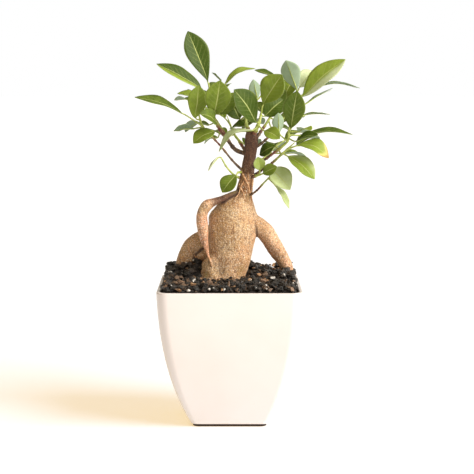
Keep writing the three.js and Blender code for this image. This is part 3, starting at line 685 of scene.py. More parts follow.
body_bm = bmesh.new()
column_tube(body_bm)
for root in ROOTS.values():
    # the radii are a default value, so that each root's function keeps its own
    def root_radius(t, angle, radii=root["radii"]):
        bumps = ROOT_BULGE * math.sin(2 * angle + 9 * t) + ROOT_KNUCKLES * math.sin(3 * angle - 23 * t)
        return along(radii, t) * (1 + bumps)

    add_tube(body_bm, vectors(root["points"]), root_radius, sides=ROOT_SIDES, rings=ROOT_RINGS)
body_helper = add_object("body_helper", metre_mesh("body_helper", body_bm))
melt = body_helper.modifiers.new("melt", "REMESH")
melt.mode = "VOXEL"
melt.voxel_size = VOXEL * MM
body_mesh = with_modifiers(body_helper)

# %% [markdown]
# The remeshed skin is smoothed by the bmesh smoother. How far the much smoother copy stands out of it tells how
# hollow each place is. Then every point is moved, and gets its stored values: pink from the nearest root's curve,
# dark from its height, a painted shade where the skin curves inwards, which darkens the creases as shade would,
# moss near a few places, and the colour of the fibrous neck above the body.

# %% Shape and mark the skin
ROOT_MARKS = 60
FORK_FILL = (0.04, 0.4)
NEAR_ROOT = (2.0, 1.1)
PINK_START = (0.08, 0.2)
ARCH_OLD, ARCH_OLD_END = 0.85, (0.36, 0.24)
TRUNK_START, TRUNK_FULL = (208, 219), (216, 226)
NECK_BAND = (187, 200)
# how strongly the creases are darkened by painted shade, less on the front foot
CREVICE_SHADE_GAIN, FOOT_CREVICE_SHADE_GAIN = 2.0, 0.8
CREVICE_SHADE_START, CREVICE_SHADE_MOST = 0.08, 0.85
SWELL, GRAIN = 0.8, 0.16
MOSS = [(Vector((18, -9, 192)), 6), (Vector((4, -9, 199)), 5), (Vector((12, -15, 130)), 7),
        (Vector((-20, -14, 127)), 4)]

body_bm = bmesh.new()
body_bm.from_mesh(body_mesh)
bpy.data.meshes.remove(body_mesh)
bmesh.ops.scale(body_bm, vec=(1 / MM,) * 3, verts=body_bm.verts)
soften(body_bm, MELT_ROUNDS)
soft_bm = body_bm.copy()
soften(soft_bm, CAVITY_ROUNDS)
body_bm.normal_update()
inwards = [(soft.co - vert.co).dot(vert.normal) for vert, soft in zip(body_bm.verts, soft_bm.verts)]
for vert, soft, depth in zip(body_bm.verts, soft_bm.verts, inwards):
    vert.co = vert.co.lerp(soft.co, ease(*FORK_FILL, depth))
soft_bm.free()
soften(body_bm, FILLET_ROUNDS)
body_bm.normal_update()

tree = KDTree(len(ROOTS) * (ROOT_MARKS + 1))
tree_marks = []
for name, root in ROOTS.items():
    for k in range(ROOT_MARKS + 1):
        tree.insert(curve_point(vectors(root["points"]), k / ROOT_MARKS), len(tree_marks))
        tree_marks.append((name, k / ROOT_MARKS))
tree.balance()

stores = {name: body_bm.verts.layers.float.new(name) for name in ("pink", "dark", "hollow", "moss", "neck")}
moves = []
for vert, depth in zip(body_bm.verts, inwards):
    spot = vert.co
    _, mark, gap = tree.find(spot)
    name, share = tree_marks[mark]
    reach = along(ROOTS[name]["radii"], share)
    on_root = ease(*NEAR_ROOT, gap / reach)
    near = on_root * ease(*PINK_START, share) if name != "buried" else 0.0
    cloud = noise.noise(spot * 0.09)
    # the dark bark and the neck's fibres have ragged edges, which lie lower on the trunk's right side
    climb = spot.z + 6 * noise.noise(spot * 0.25) + 0.5 * (spot.x - 14)
    neck_climb = spot.z + 7 * noise.noise(spot * 0.2) + 0.35 * (spot.x - 12)
    trunk = 0.75 * ease(*TRUNK_START, climb) + 0.25 * ease(*TRUNK_FULL, climb)
    old = ARCH_OLD * on_root * ease(*ARCH_OLD_END, share) if name == "arch" else 0.0
    green = max(1 - (spot - place).length / patch for place, patch in MOSS) + 0.5 * noise.noise(spot * 0.5)
    gain = FOOT_CREVICE_SHADE_GAIN if name == "front_foot" else CREVICE_SHADE_GAIN
    vert[stores["pink"]] = min(max(ROOTS[name]["pink"] * near * (0.8 + cloud) + 0.12 * cloud, 0.0), 1.0)
    vert[stores["dark"]] = max(trunk, old)
    vert[stores["neck"]] = ease(*NECK_BAND, neck_climb)
    vert[stores["moss"]] = min(max(green, 0.0), 1.0)
    # painted shade: the further the skin curves inwards, the darker its crease is painted
    vert[stores["hollow"]] = min(max(depth * gain - CREVICE_SHADE_START, 0.0), CREVICE_SHADE_MOST)
    # wide dents, and ridges and grain that are drawn out upwards; the thin arching root swells less
    swell = 0.9 * noise.noise(spot * 0.07) + 0.35 * noise.noise(Vector((spot.x, spot.y, spot.z * 0.3)) * 0.3)
    grain = noise.noise(Vector((spot.x * 0.8, spot.y * 0.8, spot.z * 0.22)))
    thin = ease(4, 12, reach) if name == "arch" and near > 0.5 else 1.0
    moves.append(vert.normal * (swell * SWELL * thin + GRAIN * grain))
for vert, move in zip(body_bm.verts, moves):
    vert.co += move
for face in body_bm.faces:
    face.smooth = True
wood_tree = BVHTree.FromBMesh(body_bm)
finish_piece("root_body", body_bm, [bark], ["root_body_and_trunk"])

# %% [markdown]
# ## Shoots
#
# Each shoot is a thin stem that leaves the trunk brown and ends green, in a pointed bud. Its leaves are measured
# one by one: the place on the stem, the foot and the tip of the blade, its width, the way its upper face looks,
# how far it arches, and its tone: 0 for an old deep green leaf, 1 for a young yellow-green one and 2 for a pale
# one. Three more numbers follow where they matter: how dry the tip is, at which share of its length the blade is
# widest, and how much painted sheen lies on its left half, or on its right one where the number is negative, as
# seen from above with the tip ahead. That sheen is a pale tone that stands in for the light a half of the blade
# catches.

# %% Shoots and leaves, measured
SHOOTS = {
    "left_shoot": {
        "stem": [(12, -2, 214), (3, -7, 223), (-8, -10, 236.5), (-16, -11, 245), (-23, -12, 253), (-26, -11, 263)],
        "radii": [1.3, 0.9, 0.75, 0.8, 1, 0.7], "green": 0.66,
        "leaves": [
            (0.8, (-40, -15, 264), (-79, -23, 277), 19, (0.2, -0.4, 1), 2.5, 0.25),
            (0.9, (-28.5, -13, 259.5), (-26, -13, 287), 17, (0.1, -1, 0.2), 2, 0.6, 0, 0.56),
            (1, (-24, -9, 282), (-61, -14, 305), 18, (0.35, -0.7, 0.9), 2, 0, 0, 0.526, 1.8),
            (0.78, (-30, -14, 251), (-47, -17, 249), 12, (-0.1, 0.5, 0.9), 1, 0.2),
            (0.72, (-13.5, -15, 248.5), (-30.5, -22, 239), 16, (-0.3, -0.75, 0.65), 2, 0.6),
        ],
    },
    "upper_left_shoot": {
        "stem": [(14, 0, 229), (5, 2, 232.5), (-2, 3, 241), (-8, 4, 249), (-13, 5, 258), (-16, 6, 268),
                 (-17, 8, 281)],
        "radii": [2.1, 1.75, 1.45, 1.3, 1.15, 1, 0.7], "green": 0.66,
        "leaves": [
            (0.97, (-18.5, 3, 290), (-35.5, 5, 332.5), 21.5, (0.35, -1, 0.1), 1, -0.05, 0, 0.6),
            (0.74, (-13.5, -12, 261.5), (-8, -27, 291), 23, (0.2, -1, 0.3), 3, 0.5, 0, 0.6),
            (0.78, (-8, -2, 263), (4, -4, 281), 14, (0.35, -1, 0.4), 1, 0.4),
            (0.75, (-11.6, -16, 256), (-24.2, -33, 263.6), 14.5, (0.05, -0.9, 0.6), 2.5, 0.25),
            (1, (-4.5, 11, 288), (22, 17, 301.5), 12, (0, -0.3, 1), 4, 1),
            (0.92, (-7.5, 17, 290.3), (-15.1, 30, 298), 5, (0.7, 0.1, 0.7), 0.5, 0.1),
        ],
    },
    "rear_left_shoot": {
        "stem": [(0, 3, 239), (-4, 9, 245), (-9, 16, 253), (-14, 24, 261), (-17, 31, 271)],
        "radii": [1.2, 1.1, 1, 0.9, 0.7], "green": 0.4,
        "leaves": [
            (0.72, (-27, 18, 273.5), (-45, 16, 279.8), 15, (0, -0.35, 1), 2, 0.8),
            (0.8, (-26, 36, 266), (-49, 56, 273.5), 18, (-0.1, 0.1, 1), 5, 0.35),
            (0.92, (-22, 40, 275), (-36, 64, 281), 16, (0.1, -0.15, 1), 3, 0.4),
            (0.96, (-13, 42, 277), (-4, 74, 287), 20, (0, -0.3, 1), 4, 0.3),
            (0.6, (-18, 26, 253), (-39, 42, 246), 18, (-0.2, 0.2, 1), 5, 0.2),
            (0.46, (-10, 11.5, 243), (-22, 17, 237), 10, (0, -0.3, 1), 2, 0.8),
        ],
    },
    "centre_shoot": {
        "stem": [(18, -1, 240), (21.6, -4, 248.5), (24.6, -6, 255), (26.6, -5, 264)],
        "radii": [2.4, 1.9, 1.4, 0.8], "green": 0.4,
        "leaves": [
            (0.72, (22.5, -9, 256), (3.5, -23, 283.5), 24, (0.4, -1, 0.5), 2, 0, 0, 0.58),
            (0.86, (28, -9, 270.5), (43.5, -20, 296), 23, (-0.15, -1, 0.3), 2, 0.65, 0, 0.6),
            (0.94, (29.5, 1, 261), (46, 8, 275), 19, (0.2, -0.9, 0.55), 2, 0.05),
            (0.55, (20, -12, 250), (-9, -19, 231.5), 14, (-0.6, -0.3, 0.85), 7, 1.7),
            (0.6, (29, -11, 249), (42, -19, 242.5), 13, (0.1, -0.9, 0.5), 2, 0.75),
        ],
    },
    "upper_centre_shoot": {
        "stem": [(17, 2, 241), (15.6, 7, 249.5), (14, 10, 256), (15, 13, 265)],
        "radii": [2.2, 1.7, 1.2, 0.75], "green": 0.42,
        "leaves": [
            (0.75, (13, 9, 264), (0.5, 13, 280), 15, (0.3, -0.9, 0.6), 2, 0.2),
            (0.6, (13, 12, 252.5), (1, 22, 249), 14, (-0.1, -0.5, 0.9), 2, 0.1),
            (0.92, (23, 13, 275), (20, 12, 292), 11, (-0.3, 1, -0.1), -1, 0.7),
            (1, (38, 20, 293.5), (21.5, 24, 300.5), 12, (0, -0.35, 1), 0.5, 0.1),
            (0.85, (9, 20, 258), (0, 26, 272.5), 18, (0.1, -1, 0.3), 2, 0.1),
        ],
    },
    "upper_right_shoot": {
        "stem": [(20, 2, 233), (28, 5, 238.5), (36, 8, 246), (44, 11, 256), (51, 13, 267), (56, 14, 277)],
        "radii": [1.4, 1.1, 0.9, 0.9, 1, 0.7], "green": 0.52,
        "leaves": [
            (0.94, (57, 8, 282.5), (47.5, 0, 308), 17, (0.1, 1, 0.35), 2, 0.75, 0, 0.58),
            (0.98, (62, 11, 277.5), (99, 14, 309), 21, (-0.35, -0.9, 0.55), 3, 0.75, 0, 0.526, -4),
            (0.99, (60, 21, 285), (71, 30, 300), 15, (0.3, -0.8, 0.4), 2, 2.3),
            (0.9, (70, 22, 283.5), (113, 33, 284.5), 10, (0, -0.05, 1), 5, 0.2),
            (0.82, (64, 17, 271), (89, 24, 284), 6, (-0.4, -0.02, 1), 1, 0.05),
            (0.74, (46, 22, 270), (35, 41, 285), 18, (0.2, -0.6, 0.8), 3, 0.3),
        ],
    },
    "right_shoot": {
        "stem": [(16, -2, 216), (27, -5, 222.5), (35, -7, 228.5), (43, -9, 234.5), (49, -10, 241), (50, -10, 250)],
        "radii": [1.7, 1.2, 1.05, 1, 1, 0.8], "green": 0.62,
        "leaves": [
            (0.95, (51, -17, 251), (55.5, -33, 282.5), 19.5, (0, -1, 0.35), 3, 0.15, 0, 0.6, -0.1),
            (0.78, (42, -8, 246.5), (41, -10, 264), 11, (-0.3, 1, 0.1), 1, 0.7),
            (0.9, (62, -7, 245), (104, -5, 246), 16, (0, -0.25, 1), 3, 0.12),
            (0.84, (55, -17, 240.5), (73.5, -30, 245.5), 13, (0.1, -0.6, 0.85), 2, 0.05),
            (0.96, (57, -14, 248.5), (67, -36, 250), 12, (0.1, -0.35, 1), 2, 0.9),
            (0.98, (62, 0, 261.5), (86, 12, 262), 8, (0, -0.04, 1), 1.5, 0.2),
        ],
    },
    "drooping_shoot": {
        "stem": [(17, 2, 208), (27, 0, 215), (36, -3, 221.5), (42.5, -5, 227.5), (49, -6, 233.5)],
        "radii": [1.5, 1.1, 1, 0.95, 0.75], "green": 0.66,
        "leaves": [
            (1, (58, -8, 236.5), (83, -15, 226), 18, (0.2, -0.65, 0.8), 6, 0.9, 0.9),
            (0.84, (49, -9, 227.5), (71, -19, 208.5), 18.5, (0.35, -0.75, 0.6), 3, 0.65, 0, 0.526, 1.2),
            (0.8, (39, 3, 235), (26, 9, 227.5), 13, (0.1, -0.7, 0.6), 2, 0.1),
            (0.96, (57, 5, 236), (78, 26, 240), 16, (0, -0.1, 1), 4, 0.35),
        ],
    },
    "low_right_shoot": {
        "stem": [(15, -4, 193), (22, -7, 197.5), (29.5, -8, 205.5), (35, -7.5, 211)],
        "radii": [1.1, 0.8, 0.7, 0.6], "green": 0.6,
        "leaves": [
            (1, (36, -7.5, 214.5), (50.8, -14, 199.3), 20.5, (0.25, -0.9, 0.45), 2.5, 1.6, 0, 0.43),
            (0.86, (38.5, -9, 203), (50.5, -8, 183), 7, (0.6, -0.7, 0.2), 2, 1.5),
        ],
    },
    "trunk_side_shoot": {
        "stem": [(17, -3, 209), (21.5, -6, 210.5), (26, -8, 212)],
        "radii": [1.4, 1.2, 0.85], "green": 0.62, "bud": 4,
        "leaves": [
            (1, (28, -11, 213), (40, -16, 219), 11, (0.1, -0.9, 0.4), 1, 0.45),
            (0.85, (25.5, -9, 215.5), (23.5, -11, 227), 11, (0.2, -1, 0.2), 1, 1.2),
        ],
    },
    "low_left_leaf": {
        "stem": [(12, -2, 213), (9, -6, 213.8), (7, -9, 213.8)],
        "radii": [1.3, 1.1, 0.85], "green": 0.5, "bud": 1.5,
        "leaves": [(0.95, (5.2, -11.5, 211.6), (-6.2, -15, 197.2), 15, (-0.25, -1, 0.35), 2, 0.35)],
    },
    "pale_side_leaf": {
        "stem": [(11, -1, 208.5), (7, -5, 209.5), (2, -8, 213), (-3.5, -10, 219.5)],
        "radii": [1.1, 0.95, 0.8, 0.7], "green": 0.34, "bud": 1.5,
        "leaves": [(0.98, (-8.5, -11, 227), (-18, -17, 215.5), 6, (-0.85, -0.2, 0.5), 1, 2.2)],
    },
    "rear_right_shoot": {
        "stem": [(19, 3, 236), (25, 14, 245), (31, 25, 253), (36, 33, 261), (38, 39, 270)],
        "radii": [1.6, 1.3, 1.1, 1, 0.7], "green": 0.5,
        "leaves": [
            (0.7, (44, 36, 254), (66, 60, 258), 18, (0.1, 0.05, 1), 5, 0.3),
            (0.8, (31, 41, 262), (10, 66, 269), 20, (-0.1, 0.1, 1), 5, 0.4),
            (0.9, (46, 43, 273), (62, 62, 294), 20, (-0.2, -0.5, 0.7), 4, 0.5),
            (0.97, (35, 50, 276), (28, 81, 286), 20, (0, -0.2, 1), 5, 0.25),
            (0.62, (37, 22, 250), (55, 26, 246), 14, (0.1, -0.2, 1), 3, 0.2),
        ],
    },
    "rear_shoot": {
        "stem": [(16, 3, 222), (13, 14, 231), (8, 25, 239), (3, 33, 246), (0, 39, 254)],
        "radii": [1.6, 1.3, 1.1, 1, 0.7], "green": 0.5,
        "leaves": [
            (0.7, (-3, 40, 242), (-22, 67, 240), 20, (-0.1, 0.1, 1), 6, 0.45),
            (0.85, (11, 43, 249), (30, 69, 252), 20, (0.1, 0.1, 1), 6, 0.3),
            (0.96, (-4, 49, 258), (-20, 78, 265), 20, (-0.1, -0.1, 1), 5, 0.6),
            (0.62, (13, 31, 236), (24, 52, 231), 17, (0.1, 0.1, 1), 5, 0.2),
        ],
    },
    "rear_low_shoot": {
        "stem": [(17, 2, 214), (24, 13, 220), (32, 24, 226), (39, 32, 233)],
        "radii": [1.5, 1.2, 1.1, 0.7], "green": 0.55,
        "leaves": [
            (0.78, (45, 29, 228), (69, 38, 218), 18, (0.3, 0, 1), 5, 0.55),
            (0.9, (38, 42, 233), (42, 69, 226), 19, (0, 0.2, 1), 6, 0.35),
            (0.98, (48, 38, 239), (73, 56, 243), 19, (0.1, 0.1, 1), 5, 0.45),
        ],
    },
}
BUD_LENGTH = 8
BUD_TIP = 0.35


def stem_curve(shoot):
    """The stem's points with the bud's tip added, its radii, and a place on the stem as a share of the curve."""
    points = vectors(shoot["stem"])
    points.append(points[-1] + (points[-1] - points[-2]).normalized() * shoot.get("bud", BUD_LENGTH))
    return points, [*shoot["radii"], BUD_TIP], (len(points) - 2) / (len(points) - 1)


# %% [markdown]
# ## Leaf finishes
#
# A fig's leaf is leathery. Its upper face is waxed, so it shines, and its middle rib is sunk and pale. Fine side
# veins run out to the edge and bend forward. The underside is duller and greyer. Light from behind comes through
# yellow-green. The leaf's own map, which runs across and along the blade, draws the veins, so that
# every leaf carries them in its own shape.

# %% Leaf finish
VEIN_PAIRS = 10.0
VEIN_SLANT = 2.2
VEIN_BOW = 1.3
RIB_WIDTH, RIB_NARROWS = 0.13, 0.09
MOTTLE = 0.22
THROUGH_SHARE = 0.55
DRY_YELLOW, DRY_BROWN = shade(222, 214, 128), shade(196, 150, 84)


def leaf_finish(name, deep, young, pale_and_sheen, rib, roughness, shine, through, glow):
    """One face of the blade. shine is its specular, through the light that comes through it, glow its share."""
    material, shader = new_finish(name, roughness, Specular_IOR_Level=shine)
    leaf_map = add_node(material, "ShaderNodeUVMap", uv_map="leaf_map").outputs["UV"]
    axes = add_node(material, "ShaderNodeSeparateXYZ", {"Vector": leaf_map}).outputs
    side = reckon(material, "ABSOLUTE", reckon(material, "MULTIPLY_ADD", axes["X"], 2.0, -1.0))
    up = axes["Y"]
    rib_width = reckon(material, "MULTIPLY_ADD", up, -RIB_NARROWS, RIB_WIDTH)
    rib_share = reckon(material, "DIVIDE", side, rib_width)
    on_rib = spread(material, reckon(material, "SUBTRACT", 1.0, rib_share, clamp=True), 0.0, 0.6)
    bow = reckon(material, "POWER", side, VEIN_BOW)
    phase = reckon(material, "MULTIPLY_ADD", bow, -VEIN_SLANT, reckon(material, "MULTIPLY", up, VEIN_PAIRS))
    crest = reckon(material, "ABSOLUTE", reckon(material, "SUBTRACT", reckon(material, "FRACT", phase), 0.5))
    fade = spread(material, side, 0.95, 0.45)
    on_vein = reckon(material, "MULTIPLY", spread(material, crest, 0.4, 0.5), fade)
    edge = spread(material, side, 0.9, 1.0)
    place = millimetres(material)
    mottle = speckle(material, place, 0.16, 3.0, low=0.3, high=0.7)
    pores = speckle(material, place, 0.9, 2.0, low=0.3, high=0.7)
    tone = stored(material, "tone")
    age_and_sheen = reckon(material, "ADD", tone, reckon(material, "MULTIPLY_ADD", mottle, MOTTLE, -MOTTLE / 2))
    colour = blend(material, spread(material, age_and_sheen, -0.1, 1.1), deep, young)
    # the pale colour serves pale leaves, and the painted sheen on one half of a blade
    colour = blend(material, spread(material, age_and_sheen, 0.9, 2.1), colour, pale_and_sheen)
    colour = layered(material, colour, (pores, 0.07, rib), (edge, 0.3, rib), (on_vein, 0.24, rib),
                     (on_rib, 0.85, rib))
    dry = stored(material, "dry")
    colour = blend(material, spread(material, dry, 0.0, 0.6), colour, DRY_YELLOW)
    colour = blend(material, spread(material, dry, 0.55, 1.0), colour, DRY_BROWN)
    feed(material, shader.inputs["Base Color"], colour)
    height = weighted(material, (on_vein, -0.25), (mottle, 0.3), (on_rib, -0.6))
    relief(material, shader, height, distance=0.0004, strength=0.35)
    passed = blend(material, THROUGH_SHARE, colour, through)
    light = add_node(material, "ShaderNodeBsdfTranslucent", {"Color": passed})
    both = add_node(material, "ShaderNodeMixShader", {0: glow, 1: shader.outputs[0], 2: light.outputs[0]})
    feed(material, material.node_tree.nodes["Material Output"].inputs["Surface"], both.outputs[0])
    return material


leaf_upper = leaf_finish(
    "leaf_upper", deep=shade(58, 82, 8), young=shade(154, 172, 60), pale_and_sheen=shade(228, 236, 192),
    rib=shade(206, 212, 128), roughness=0.5, shine=0.22, through=shade(190, 210, 40), glow=0.3,
)
leaf_under = leaf_finish(
    "leaf_under", deep=shade(112, 134, 100), young=shade(178, 198, 168), pale_and_sheen=shade(228, 230, 200),
    rib=shade(214, 222, 170), roughness=0.6, shine=0.25, through=shade(196, 214, 84), glow=0.2,
)

# %% Stem finishes
green_stem = two_tone("green_stem", 0.45, (146, 160, 66), (188, 196, 104), scale=0.25, detail=2.0)

twig_bark, twig_shader = new_finish("twig_bark", 0.5)
twig_place = millimetres(twig_bark)
twig_patches = speckle(twig_bark, twig_place, 0.35, 3.0)
twig_pores = speckle(twig_bark, twig_place, 1.6, 2.0, low=0.6, high=0.7)
young = stored(twig_bark, "young")
twig_colour = blend(twig_bark, twig_patches, shade(46, 27, 21), shade(116, 84, 46))
twig_colour = blend(twig_bark, spread(twig_bark, young, 0.2, 0.7), twig_colour, shade(112, 58, 38))
twig_colour = blend(twig_bark, spread(twig_bark, young, 0.75, 1.0), twig_colour, shade(150, 150, 66))
twig_colour = layered(twig_bark, twig_colour, (twig_pores, 0.7, shade(205, 172, 130)))
feed(twig_bark, twig_shader.inputs["Base Color"], twig_colour)
relief(twig_bark, twig_shader, twig_patches, distance=0.0003, strength=0.6)

# %% [markdown]
# ## The leaf
#
# A blade is a grid of quads, bent in code, since that keeps its map: across it, and along it. The grid is doubled,
# the copy lies half a millimetre below and a bridge closes the edge, so the leaf is a real thin solid. Its outline is
# the measured one. The fold along the rib, a slow wave of the edges and a little curl come on top, drawn from a
# seeded random, so that no two leaves are the same. The petiole runs on under the blade as its rib.

# %% Leaf shape
LEAF_FOLD, FOLD_OPENS = 0.3, 0.35
SIDES_APART = 1.7
BLADE_THICKNESS, EDGE_THINS = 0.5, 0.6
BLADE_LEAST = 0.16
BLADE_FULLNESS = 0.84
DRY_BAND = (0.72, 0.98)
PETIOLE_END = 1 / 3
PETIOLE_RADIUS, PETIOLE_FOOT, PETIOLE_TAPER = 0.65, 1.15, 0.75
FOOT_SWELL, FOOT_REACH = 0.35, 0.06
RIB_SHARE, RIB_LEAST, RIB_TAPER = 0.9, 0.12, 0.8
RIB_LENGTH, RIB_END = 0.63, 0.96
RIB_DEPTH, RIB_SINKS = 0.42, (0.28, 0.36)
NO_DRY_TIP, WIDEST, NO_PAINTED_SHEEN = 0.0, 0.526, 0.0
ACROSS, ALONG = 12, 22
TURN = 6.28


def blade_half(u, width, widest):
    """Half the blade's width at share u of its length."""
    bow = max(math.sin(math.pi * u ** (math.log(0.5) / math.log(widest))), 0.0)
    return max(BLADE_LEAST, width / 2 * bow**BLADE_FULLNESS)


def leaf_line(root, leaf):
    """The middle line, whose first third is the petiole, and the way the upper face looks."""
    _, foot, tip, _, faces, arch, *_ = leaf
    foot, tip, up = Vector(foot), Vector(tip), Vector(faces).normalized()
    chord = tip - foot
    lift = (up - chord * (up.dot(chord) / chord.length_squared)).normalized()
    return [root, foot, foot + chord * 0.5 + lift * arch, tip], up


def add_leaf(bm, root, leaf, chance):
    """Adds one leaf with its petiole and rib."""
    points, up = leaf_line(root, leaf)
    width, tone = leaf[3], leaf[6]
    dry_tip, widest, painted_sheen = *leaf[7:], *(NO_DRY_TIP, WIDEST, NO_PAINTED_SHEEN)[len(leaf) - 7:]
    phase, waves = chance.uniform(0, TURN), chance.uniform(1.6, 2.6)
    wave, cup, curl = chance.uniform(0.1, 0.4), chance.uniform(0.8, 1.25), chance.uniform(-0.5, 0.7)

    def local_frame(t):
        ahead = curve_ahead(points, t)
        normal = (up - ahead * up.dot(ahead)).normalized()
        return ahead, normal, normal.cross(ahead)

    def blade_point(s, u, level):
        t = (1 + 2 * u) / 3
        _, normal, across = local_frame(t)
        fold = LEAF_FOLD * cup * (1 - FOLD_OPENS * u)
        reach = abs(s) * blade_half(u, width, widest)
        beat = waves * TURN * u + phase + (SIDES_APART if s > 0 else 0.0)
        ripple = wave * s * s * math.sin(beat) * math.sin(TURN / 2 * u)
        rise = reach * math.sin(fold) * (0.75 + 0.25 * abs(s)) + ripple + curl * u**4
        place = curve_point(points, t) + across * (math.copysign(reach, s) * math.cos(fold))
        thick = BLADE_THICKNESS * (1 - EDGE_THINS * s**4)
        return place + normal * (rise + level * thick / 2)

    blade = bmesh.new()
    blade.loops.layers.uv.new("leaf_map")
    bmesh.ops.create_grid(blade, x_segments=ACROSS, y_segments=ALONG, size=0.5, calc_uvs=True)
    upper = blade.faces[:]
    copied = bmesh.ops.duplicate(blade, geom=blade.verts[:] + blade.edges[:] + upper)["geom"]
    lower = [g for g in copied if isinstance(g, bmesh.types.BMFace)]
    tone_layer = blade.verts.layers.float.new("tone")
    dry_layer = blade.verts.layers.float.new("dry")
    for faces, level in ((upper, 1), (lower, -1)):
        for vert in {v for face in faces for v in face.verts}:
            # s runs from -1 to 1 across the blade and u from 0 to 1 along it, both closer near the edges
            s, row = vert.co.x * 2, vert.co.y + 0.5
            u = 0.5 * row + 0.25 * (1 - math.cos(math.pi * row))
            s = math.copysign(abs(s) ** 1.2, s)
            ragged = u + 0.15 * s * s + 0.1 * noise.noise(Vector((s, u, tone)) * 4)
            # painted sheen: a pale tone on one half of the blade stands in for the light that this half catches
            vert[tone_layer] = tone + max(painted_sheen * s, 0.0) ** 0.6 * (1 - 0.3 * u)
            vert[dry_layer] = dry_tip * ease(*DRY_BAND, ragged)
            vert.co = blade_point(s, u, level)
    bmesh.ops.reverse_faces(blade, faces=lower)
    rims = [e for e in blade.edges if e.is_boundary]
    bridge = bmesh.ops.bridge_loops(blade, edges=rims)["faces"]
    for face in blade.faces:
        face.smooth = True
        face.material_index = 0
    for face in [*lower, *bridge]:
        face.material_index = 1
    bmesh.ops.recalc_face_normals(blade, faces=blade.faces)
    merge(bm, blade)

    # the petiole is thickest at its foot, and the rib thins out to the tip and lies under the blade
    def rib_radius(t, angle):
        if t < PETIOLE_END:
            foot = 1 + FOOT_SWELL * ease(FOOT_REACH, 0.0, t)
            return PETIOLE_RADIUS * (PETIOLE_FOOT - PETIOLE_TAPER * t) * foot
        left = max(1 - (t - PETIOLE_END) / RIB_LENGTH, RIB_LEAST)
        return PETIOLE_RADIUS * RIB_SHARE * left**RIB_TAPER

    def under(t):
        _, normal, _ = local_frame(t)
        return normal * (-RIB_DEPTH * ease(*RIB_SINKS, t))

    add_tube(bm, points, rib_radius, sides=7, rings=30, end=RIB_END, sink=under, material=2)


# %% Green shoots
LEAF_SEED = 7
KNOT_MOST = 0.3
STEM_KNOT, TWIG_KNOT = (0.22, 0.018), (0.3, 0.012)
GREEN_OVERLAP = 0.01


def knot_swell(t, places, height, width):
    """How much a stem is thickened by the knots at some places, as a share of its radius."""
    return min(sum(height * math.exp(-(((t - place) / width) ** 2)) for place in places), KNOT_MOST)


chance = random.Random(LEAF_SEED)
for name, shoot in SHOOTS.items():
    shoot_bm = bmesh.new()
    shoot_bm.verts.layers.float.new("tone")
    shoot_bm.verts.layers.float.new("dry")
    shoot_bm.loops.layers.uv.new("leaf_map")
    points, radii, scale = stem_curve(shoot)
    joints = [leaf[0] * scale for leaf in shoot["leaves"]]

    def stem_radius(t, angle, radii=radii, joints=joints):
        return along(radii, t) * (1 + knot_swell(t, joints, *STEM_KNOT))

    start = shoot["green"] * scale - GREEN_OVERLAP
    add_tube(shoot_bm, points, stem_radius, sides=10, rings=44, start=start, material=2)
    for leaf in shoot["leaves"]:
        add_leaf(shoot_bm, curve_point(points, leaf[0] * scale), leaf, chance)
    finish_piece(name, shoot_bm, [leaf_upper, leaf_under, green_stem], [name])

# %% [markdown]
# ## Twigs
#
# The brown part of each stem is a separate piece from the root body, because a 2 mm twig would be lost in the
# remesh. Rings and small knots where old leaves sat give it the look of a real fig's twig.

# %% Twigs
TWIG_KNOTS = (0.34, 0.5, 0.64, 0.76, 0.86, 0.94)
TWIG_RINGS = 0.06
YOUNG_BAND = (0.35, 1.0)

twig_bm = bmesh.new()
young_layer = twig_bm.verts.layers.float.new("young")
for shoot in SHOOTS.values():
    points, radii, scale = stem_curve(shoot)
    end = shoot["green"] * scale
    knots = [end * share for share in TWIG_KNOTS]

    def twig_radius(t, angle, radii=radii, knots=knots):
        ringed = TWIG_RINGS * math.sin(2 * angle + 40 * t)
        return along(radii, t) * (1 + knot_swell(t, knots, *TWIG_KNOT) + ringed)

    first = len(twig_bm.verts)
    add_tube(twig_bm, points, twig_radius, sides=10, rings=60, end=end)
    twig_bm.verts.ensure_lookup_table()
    base, reach = points[0], (curve_point(points, end) - points[0]).length
    for vert in twig_bm.verts[first:]:
        vert[young_layer] = ease(*YOUNG_BAND, (vert.co - base).length / reach)
finish_piece("twigs", twig_bm, [twig_bark])

# %% [markdown]
# ## Thin roots
#
# Pale rootlets hang on the neck, and a few fine ones curl out of the low roots. They are too thin for the remesh
# as well. The three long ones have the solids' measures, and are drawn at a share of their thickness, as thin as the
# photograph shows them. Each of the fine ones is given by X and Z alone, and a ray from the front finds the bark
# that it lies on.

# %% Thin roots
STRANDS = [
    ([(10, -4, 215), (12.6, -6.3, 209), (15.6, -6.4, 203), (17, -6.2, 196)], [1, 1.3, 1.2, 1.2]),
    ([(8.2, -3, 204), (10.4, -6, 199), (13.8, -7.4, 194.5), (16, -7, 189)], [1, 1.2, 1.2, 0.8]),
    ([(19.6, -3.6, 212), (19.4, -4.6, 205), (18.6, -5.2, 198.5)], [1.1, 1.3, 0.9]),
]
FINE_ROOTS = [
    ([(-35.8, 149.5), (-35, 146), (-33, 141)], [0.5, 0.5, 0.3]),
    ([(-30.5, 141.5), (-28.5, 139.3), (-26.5, 138.4), (-24.3, 139), (-22, 140.5)], [0.4, 0.6, 0.6, 0.6, 0.4]),
    ([(-18.2, 143), (-16.5, 139), (-15, 134.4)], [0.5, 0.5, 0.3]),
    ([(18.4, 200), (17.4, 195), (18.6, 190), (17.8, 185)], [0.5, 0.6, 0.5, 0.3]),
    ([(8.6, 204), (9, 199.5), (7.4, 195), (4.5, 191.5)], [0.5, 0.5, 0.4, 0.3]),
    ([(12, 206), (9.5, 201), (11.5, 196), (12.5, 191)], [0.5, 0.6, 0.5, 0.3]),
]
STRAND_SHARE = 0.65
IN_FRONT = -80
ROOTLET_LIFT = 0.4
ROOTLET_WAVE = 0.1

